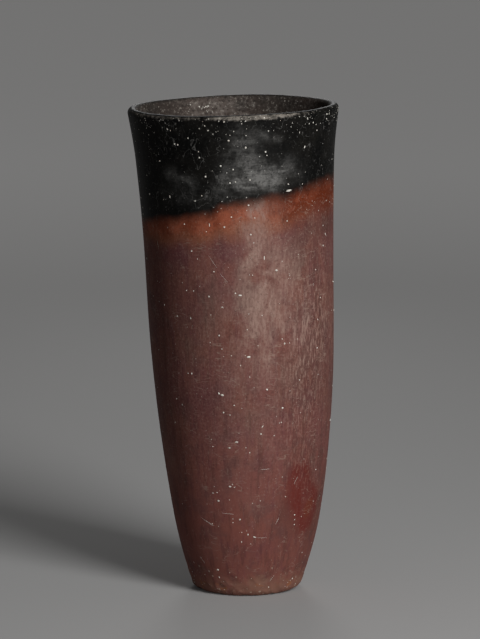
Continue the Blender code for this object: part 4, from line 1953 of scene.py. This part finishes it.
@dataclass
class LimeGrains:
    """Lime grains that stand out of the wall, as one piece for each course of clay."""

    wall: ClayWall
    courses: list[Course]
    seed: int = 7
    proud: float = 0.24
    jitter: float = 0.24
    jitter_scale: float = 3.1
    jitter_spread: tuple[float, float] = (900.0, 9000.0)
    ball_detail: int = 2
    seen: tuple[Grain, ...] = (
        Grain(174.9, 143.8, 0.9), Grain(177.8, 144.6, 1.0), Grain(188.0, 138.0, 0.7),
        Grain(228.5, 141.0, 1.1), Grain(245.6, 147.8, 1.2), Grain(198.6, 151.7, 0.6),
        Grain(199.3, 157.6, 0.9), Grain(205.5, 176.6, 1.1), Grain(233.0, 169.6, 0.9),
        Grain(235.5, 182.0, 0.7), Grain(230.0, 183.0, 0.9), Grain(250.0, 180.0, 0.9),
        Grain(265.5, 152.0, 1.0), Grain(267.0, 155.5, 0.6), Grain(304.5, 147.0, 0.8, 1.9, -20.0),
        Grain(317.0, 130.4, 0.8), Grain(288.2, 184.2, 1.0, 0.7), Grain(288.8, 190.6, 3.6, 0.32, 8.0),
        Grain(150.0, 194.0, 0.8), Grain(170.0, 196.5, 0.6, 2.6), Grain(202.0, 195.8, 0.7),
        Grain(195.0, 201.0, 1.2, 0.5), Grain(160.0, 161.0, 0.8), Grain(208.0, 130.5, 0.9, 0.8),
        Grain(230.0, 135.5, 0.6), Grain(246.0, 136.0, 0.6), Grain(299.5, 132.5, 0.5, 2.2),
        Grain(302.0, 184.0, 0.6), Grain(220.7, 166.0, 1.0), Grain(246.5, 197.5, 0.6),
        Grain(248.5, 205.3, 1.1, 0.8), Grain(231.4, 217.0, 0.9), Grain(254.7, 218.0, 0.7),
        Grain(224.3, 227.2, 1.0), Grain(250.7, 234.7, 1.0), Grain(184.5, 224.0, 0.7, 1.6),
        Grain(209.5, 225.0, 0.45, 4.5), Grain(287.0, 221.0, 0.8), Grain(191.6, 251.0, 0.9),
        Grain(197.4, 259.0, 0.5, 1.6), Grain(264.3, 258.0, 0.6, 4.2), Grain(213.8, 271.8, 0.8),
        Grain(276.6, 270.3, 1.6, 0.6, -20.0), Grain(252.6, 275.2, 0.6), Grain(322.7, 225.5, 0.6, 1.6),
        Grain(325.0, 234.0, 0.6, 2.2), Grain(322.8, 245.5, 0.7, 1.4), Grain(315.5, 269.5, 1.2, 0.4),
        Grain(235.4, 293.3, 0.8), Grain(240.0, 295.3, 2.0, 0.45, -5.0), Grain(186.6, 290.5, 0.6),
        Grain(193.5, 291.0, 0.6), Grain(209.0, 296.5, 0.8, 1.3), Grain(222.3, 307.2, 1.0, 0.7),
        Grain(164.7, 304.8, 0.6, 1.3), Grain(191.0, 318.0, 0.6, 2.0), Grain(219.2, 335.5, 0.8, 1.2),
        Grain(247.3, 329.6, 0.6), Grain(262.2, 315.6, 0.6), Grain(282.2, 339.0, 0.7),
        Grain(284.6, 343.5, 1.0), Grain(317.0, 347.8, 1.0, 0.8), Grain(317.5, 319.5, 0.6, 2.0, 30.0),
        Grain(320.0, 297.5, 0.6, 1.8, 40.0), Grain(222.0, 349.0, 0.9, 0.6), Grain(231.4, 355.7, 0.6),
        Grain(240.5, 365.5, 0.6, 1.3), Grain(248.6, 357.0, 2.2, 0.5), Grain(188.4, 373.2, 0.6),
        Grain(192.0, 373.5, 0.8, 1.4), Grain(219.0, 393.5, 0.9, 1.5, 40.0),
        Grain(222.4, 395.0, 1.9, 0.65, -15.0), Grain(249.8, 377.0, 0.4, 3.0),
        Grain(266.8, 389.5, 1.3, 0.7, -35.0), Grain(299.5, 380.0, 0.6, 1.2), Grain(177.0, 398.7, 0.6),
        Grain(234.2, 405.3, 0.8), Grain(282.6, 408.0, 1.1), Grain(223.6, 412.6, 0.9),
        Grain(230.0, 415.0, 0.9, 0.6), Grain(281.5, 422.5, 0.6), Grain(262.5, 426.5, 0.5, 3.6, -35.0),
        Grain(261.0, 434.0, 1.0), Grain(213.0, 446.5, 0.6), Grain(236.6, 442.2, 1.9, 0.4),
        Grain(229.5, 447.8, 1.2, 0.8), Grain(249.6, 452.7, 0.7), Grain(230.0, 486.5, 1.5, 0.6, -10.0),
        Grain(234.5, 487.2, 1.0, 0.4), Grain(213.0, 493.0, 1.0, 0.5), Grain(217.0, 492.5, 0.8, 0.7),
        Grain(218.4, 500.8, 1.4, 0.7), Grain(240.0, 519.3, 1.1, 0.7), Grain(233.0, 522.6, 0.6),
        Grain(294.4, 514.8, 0.9), Grain(294.3, 519.5, 0.6), Grain(294.2, 524.5, 0.7),
        Grain(285.5, 496.5, 0.6), Grain(313.0, 501.0, 0.7), Grain(315.5, 469.5, 1.0, 0.7),
        Grain(254.5, 537.0, 2.0, 0.4, -15.0), Grain(248.0, 534.5, 0.6, 2.2), Grain(241.6, 541.8, 0.7),
        Grain(218.3, 569.5, 1.3, 0.6, -35.0),
    )
    scratches: tuple[Grain, ...] = (
        Grain(207.7, 521.9, 0.18, 54.0, 61.0), Grain(228.2, 513.7, 0.15, 50.0, 86.0),
        Grain(265.5, 469.3, 0.15, 36.0, 92.0), Grain(213.0, 262.0, 0.10, 90.0, 33.0),
        Grain(224.0, 278.0, 0.09, 80.0, 40.0), Grain(295.6, 480.5, 0.14, 40.0, -28.0),
        Grain(262.0, 537.6, 0.12, 50.0, 88.0), Grain(277.0, 521.0, 0.12, 44.0, -25.0),
        Grain(203.0, 560.0, 0.13, 36.0, 35.0), Grain(272.0, 578.0, 0.13, 34.0, -30.0),
        Grain(158.0, 245.0, 0.12, 44.0, 8.0),
    )
    scatters: tuple[Scatter, ...] = (
        Scatter(75, (82.0, 288.0), (0.215, 0.268), (0.5, 1.1)),
        Scatter(95, (82.0, 288.0), (0.020, 0.215), (0.5, 1.2)),
        Scatter(46, (-80.0, 80.0), (0.215, 0.268), (0.25, 0.5)),
        Scatter(85, (-80.0, 80.0), (0.012, 0.215), (0.3, 0.55)),
        Scatter(58, (-20.0, 85.0), (0.2660, 0.2755), (0.3, 0.8)),
        Scatter(60, (85.0, 340.0), (0.2670, 0.2755), (0.3, 0.75)),
        Scatter(22, (-78.0, -8.0), (0.2650, 0.2740), (0.25, 0.55)),
        Scatter(55, (-180.0, 180.0), (0.002, 0.012), (0.35, 0.9)),
        Scatter(9, (-164.0, -155.0), (0.2675, 0.2715), (0.7, 1.5), Side.INSIDE, (0.35, 0.75)),
        Scatter(7, (-168.0, -150.0), (0.2650, 0.2725), (0.4, 0.8), Side.INSIDE, (0.4, 0.9)),
        Scatter(60, (-180.0, 180.0), (0.225, 0.274), (0.3, 0.7), Side.INSIDE, (0.4, 1.0)),
    )
    corners: list[Vector] = field(init=False, default_factory=list)
    faces: list[list[int]] = field(init=False, default_factory=list)

    def build(self) -> list[bpy.types.Object]:
        """Makes the grains and gives one piece for each course that has some.

        Returns:
            The pieces, from the lowest course up.
        """
        self.shape_ball()
        chalk = LimeChalk().material()
        heaps: dict[int, list[np.ndarray]] = {}
        for seat in self.seats():
            heaps.setdefault(self.course_at(seat), []).append(self.grain(seat))
        return [self.piece(self.courses[index], heaps[index], chalk) for index in sorted(heaps)]

    def shape_ball(self) -> None:
        """Notes the corners and faces of the ball that each grain is shaped from."""
        ball = bmesh.new()
        bmesh.ops.create_icosphere(ball, subdivisions=self.ball_detail, radius=0.5)
        self.corners = [vert.co.copy() for vert in ball.verts]
        self.faces = [[vert.index for vert in face.verts] for face in ball.faces]
        ball.free()

    def seats(self) -> list[Seat]:
        """Seats of all grains: the seen ones, the scratches, then the scattered ones.

        Returns:
            The seats, the scattered ones in the order of their draws.
        """
        found = []
        for grain in (*self.seen, *self.scratches):
            turn, z = self.wall.view.spot(grain.x, grain.y, self.wall.shape)
            found.append(Seat(turn, z, grain.width / 1000, grain.stretch, grain.slant))
        draw = random.Random(self.seed)
        for scatter in self.scatters:
            small, large = scatter.widths
            for _ in range(scatter.count):
                turn, z = draw.uniform(*scatter.turns), draw.uniform(*scatter.heights)
                width = (small + (large - small) * draw.random() ** 2) / 1000
                stretch, slant = draw.uniform(*scatter.stretches), draw.uniform(*scatter.slants)
                found.append(Seat(turn, z, width, stretch, slant, scatter.side))
        return found

    def course_at(self, seat: Seat) -> int:
        """Number of the course that shows at a seat, 0 being the base pad.

        Args:
            seat: Where a grain sits.

        Returns:
            The course's number.
        """
        shape, inside = self.wall.shape, seat.side is Side.INSIDE
        ends = [shape.joint(index)[inside] for index in range(shape.courses + 1)]
        return int(np.searchsorted(ends, seat.z))

    def grain(self, seat: Seat) -> np.ndarray:
        """Corners of one grain, half sunk in the wall.

        Args:
            seat: Where it sits, and its measures.

        Returns:
            One place for each corner of the ball.
        """
        width, stretch, lean = seat.width, seat.stretch, math.radians(seat.slant)
        radius = float(self.wall.shape.line(seat.z))
        height = min(width, width * stretch) * self.proud * 2
        by_height, by_width = self.jitter_spread
        own = Vector((seat.turn, seat.z * by_height, width * by_width))
        corners = []
        for corner in self.corners:
            x, y, out = corner * (1 + self.jitter * noise.noise(corner * self.jitter_scale + own))
            across = width * (x * math.cos(lean) - y * stretch * math.sin(lean))
            rise = width * (x * math.sin(lean) + y * stretch * math.cos(lean))
            turn = seat.turn + math.degrees(across / radius)
            place, normal = self.wall.at(turn, seat.z + rise, seat.side)
            corners.append(place + normal * out * height)
        return np.array(corners)

    def piece(
        self, course: Course, heap: list[np.ndarray], chalk: bpy.types.Material
    ) -> bpy.types.Object:
        """One course's grains as a piece.

        Args:
            course: The course that they sit in.
            heap: The corners of each grain.
            chalk: The grains' material.

        Returns:
            The piece, seated in the frame.
        """
        size = len(self.corners)
        starts = range(0, len(heap) * size, size)
        faces = [[corner + start for corner in face] for start in starts for face in self.faces]
        mesh = bpy.data.meshes.new(f"{course.node}_lime")
        mesh.from_pydata(np.concatenate(heap).tolist(), [], faces)
        mesh.shade_smooth()
        mesh.materials.append(chalk)
        piece = put_in_scene(mesh.name, mesh)
        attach(piece, "root")
        return piece


@dataclass(frozen=True)
class Lamp:
    """A soft light: its turn round the beaker and its rise in degrees, its size, power and spread."""

    name: str
    turn: float
    rise: float
    size: tuple[float, float]
    power: float
    spread: float

    def hang(self, target: Vector, distance: float) -> None:
        """Hangs the light so that it faces a target from a distance.

        Args:
            target: The place that it faces.
            distance: How far from it the light hangs.
        """
        data = bpy.data.lights.new(self.name, "AREA")
        data.shape = "RECTANGLE"
        data.size, data.size_y = self.size
        data.energy = self.power
        data.spread = math.radians(self.spread)
        turn, rise = math.radians(self.turn), math.radians(self.rise)
        level = math.cos(rise)
        away = Vector((math.sin(turn) * level, -math.cos(turn) * level, math.sin(rise)))
        light = put_in_scene(self.name, data)
        light.location = target + away * distance
        light.rotation_euler = away.to_track_quat("Z", "Y").to_euler()


@dataclass(frozen=True)
class Studio:
    """The pale floor, which runs out of sight all round, and the soft light."""

    floor_reach: float = 9.0
    floor_rings: int = 3
    floor_sides: int = 96
    sweep_radius: float = 2.6
    sweep_steps: int = 16
    floor_colour: Colour = (0.40, 0.397, 0.393)
    floor_roughness: float = 0.9
    floor_gloss: float = 0.1
    floor_glow: float = 0.15
    glow_reach: tuple[float, float] = (-0.4, 2.2)
    lamps: tuple[Lamp, ...] = (
        Lamp("key_light", 34.0, 24.0, (0.6, 1.25), 8.75, 100.0),
        Lamp("back_light", 180.0, 24.0, (0.4, 0.8), 0.42, 50.0),
    )
    distance: float = 1.6
    target: tuple[float, float, float] = (0.0, 0.0, 0.14)
    white: Colour = (1.0, 0.99, 0.98)
    air: float = 0.038

    def build(self) -> None:
        """Lays the floor and hangs the lights."""
        self.lay_floor()
        for lamp in self.lamps:
            lamp.hang(Vector(self.target), self.distance)
        self.fill_air()

    def lay_floor(self) -> None:
        """A wide pale floor that takes the beaker's shadow and turns up far away from it."""
        rings = np.linspace(0.0, self.floor_reach, self.floor_rings + 1)[1:]
        outline = [(reach, 0.0) for reach in rings.tolist()]
        for step in range(1, self.sweep_steps + 1):
            turn = math.pi / 2 * step / self.sweep_steps
            reach = self.floor_reach + self.sweep_radius * math.sin(turn)
            outline.append((reach, self.sweep_radius * (1 - math.cos(turn))))
        angles = np.arange(self.floor_sides) * 2 * math.pi / self.floor_sides
        corners = [(0.0, 0.0, 0.0)]
        corners += [(r * math.cos(a), r * math.sin(a), z) for r, z in outline for a in angles]
        here = np.arange(self.floor_sides) + 1
        after = np.roll(here, -1)
        faces = [(0, a, b) for a, b in zip(here.tolist(), after.tolist())]
        for ring in range(len(outline) - 1):
            low, high = ring * self.floor_sides, (ring + 1) * self.floor_sides
            faces += np.stack([here + low, here + high, after + high, after + low], -1).tolist()
        mesh = bpy.data.meshes.new("floor")
        mesh.from_pydata(corners, [], faces)
        mesh.shade_smooth()
        mesh.materials.append(self.floor_paint())
        floor = put_in_scene("floor", mesh)

    def floor_paint(self) -> bpy.types.Material:
        """Pale matt paint, which stays pale to the eye where the lamps don't reach.

        Returns:
            The floor's material.
        """
        material, bench, shader = new_material("pale_floor")
        shader["Base Color"].default_value = (*self.floor_colour, 1.0)
        shader["Roughness"].default_value = self.floor_roughness
        shader["Specular IOR Level"].default_value = self.floor_gloss
        shader["Emission Color"].default_value = (*self.white, 1.0)
        away = bench.add("ShaderNodeVectorMath", operation="LENGTH")
        bench.feed(away.inputs[0], bench.place())
        ray = bench.add("ShaderNodeLightPath").outputs
        looked = bench.most(ray["Is Camera Ray"], ray["Is Glossy Ray"], ray["Is Transmission Ray"])
        far = bench.ease(away.outputs["Value"], *self.glow_reach)
        bench.feed(shader["Emission Strength"], bench.times(far, self.floor_glow, looked))
        return material

    def fill_air(self) -> None:
        """Weak even light from all round."""
        world = bpy.data.worlds.new("studio_air")
        world.use_nodes = True
        background = world.node_tree.nodes["Background"].inputs
        background["Color"].default_value = (*self.white, 1.0)
        background["Strength"].default_value = self.air
        bpy.context.scene.world = world


def main() -> None:
    """Builds the beaker from the base pad up, then the studio round it."""
    logging.basicConfig(level=logging.INFO, format="%(message)s")
    bpy.context.scene.view_settings.view_transform = "Standard"
    shape = WallShape()
    view = PhotoView()
    view.place()
    wall = ClayWall(shape, HandMarks(), FireMarks(), view)
    wall.build()
    finishes = ClayFinishes()
    finishes.build()
    courses: list[Course] = [BasePad(wall, finishes, "base_pad", Slot.RED_SLIP, Zone.RED)]
    for index in range(1, shape.courses + 1):
        zone = Zone.BORDER if index >= shape.courses - 1 else Zone.RED
        slot = Slot.BLACK_TOP if index == shape.courses else Slot.RED_SLIP
        courses.append(WallCourse(wall, finishes, f"wall_course_{index}", slot, zone, index))
    courses.append(RimCourse(wall, finishes, "rim_course", Slot.BLACK_TOP, Zone.BLACK))
    pieces = [course.build() for course in courses]
    pieces += LimeGrains(wall, courses).build()
    for piece in pieces:
        LOG.info("%s: %d faces", piece.name, len(piece.data.polygons))
    Studio().build()


if __name__ == "__main__":
    main()
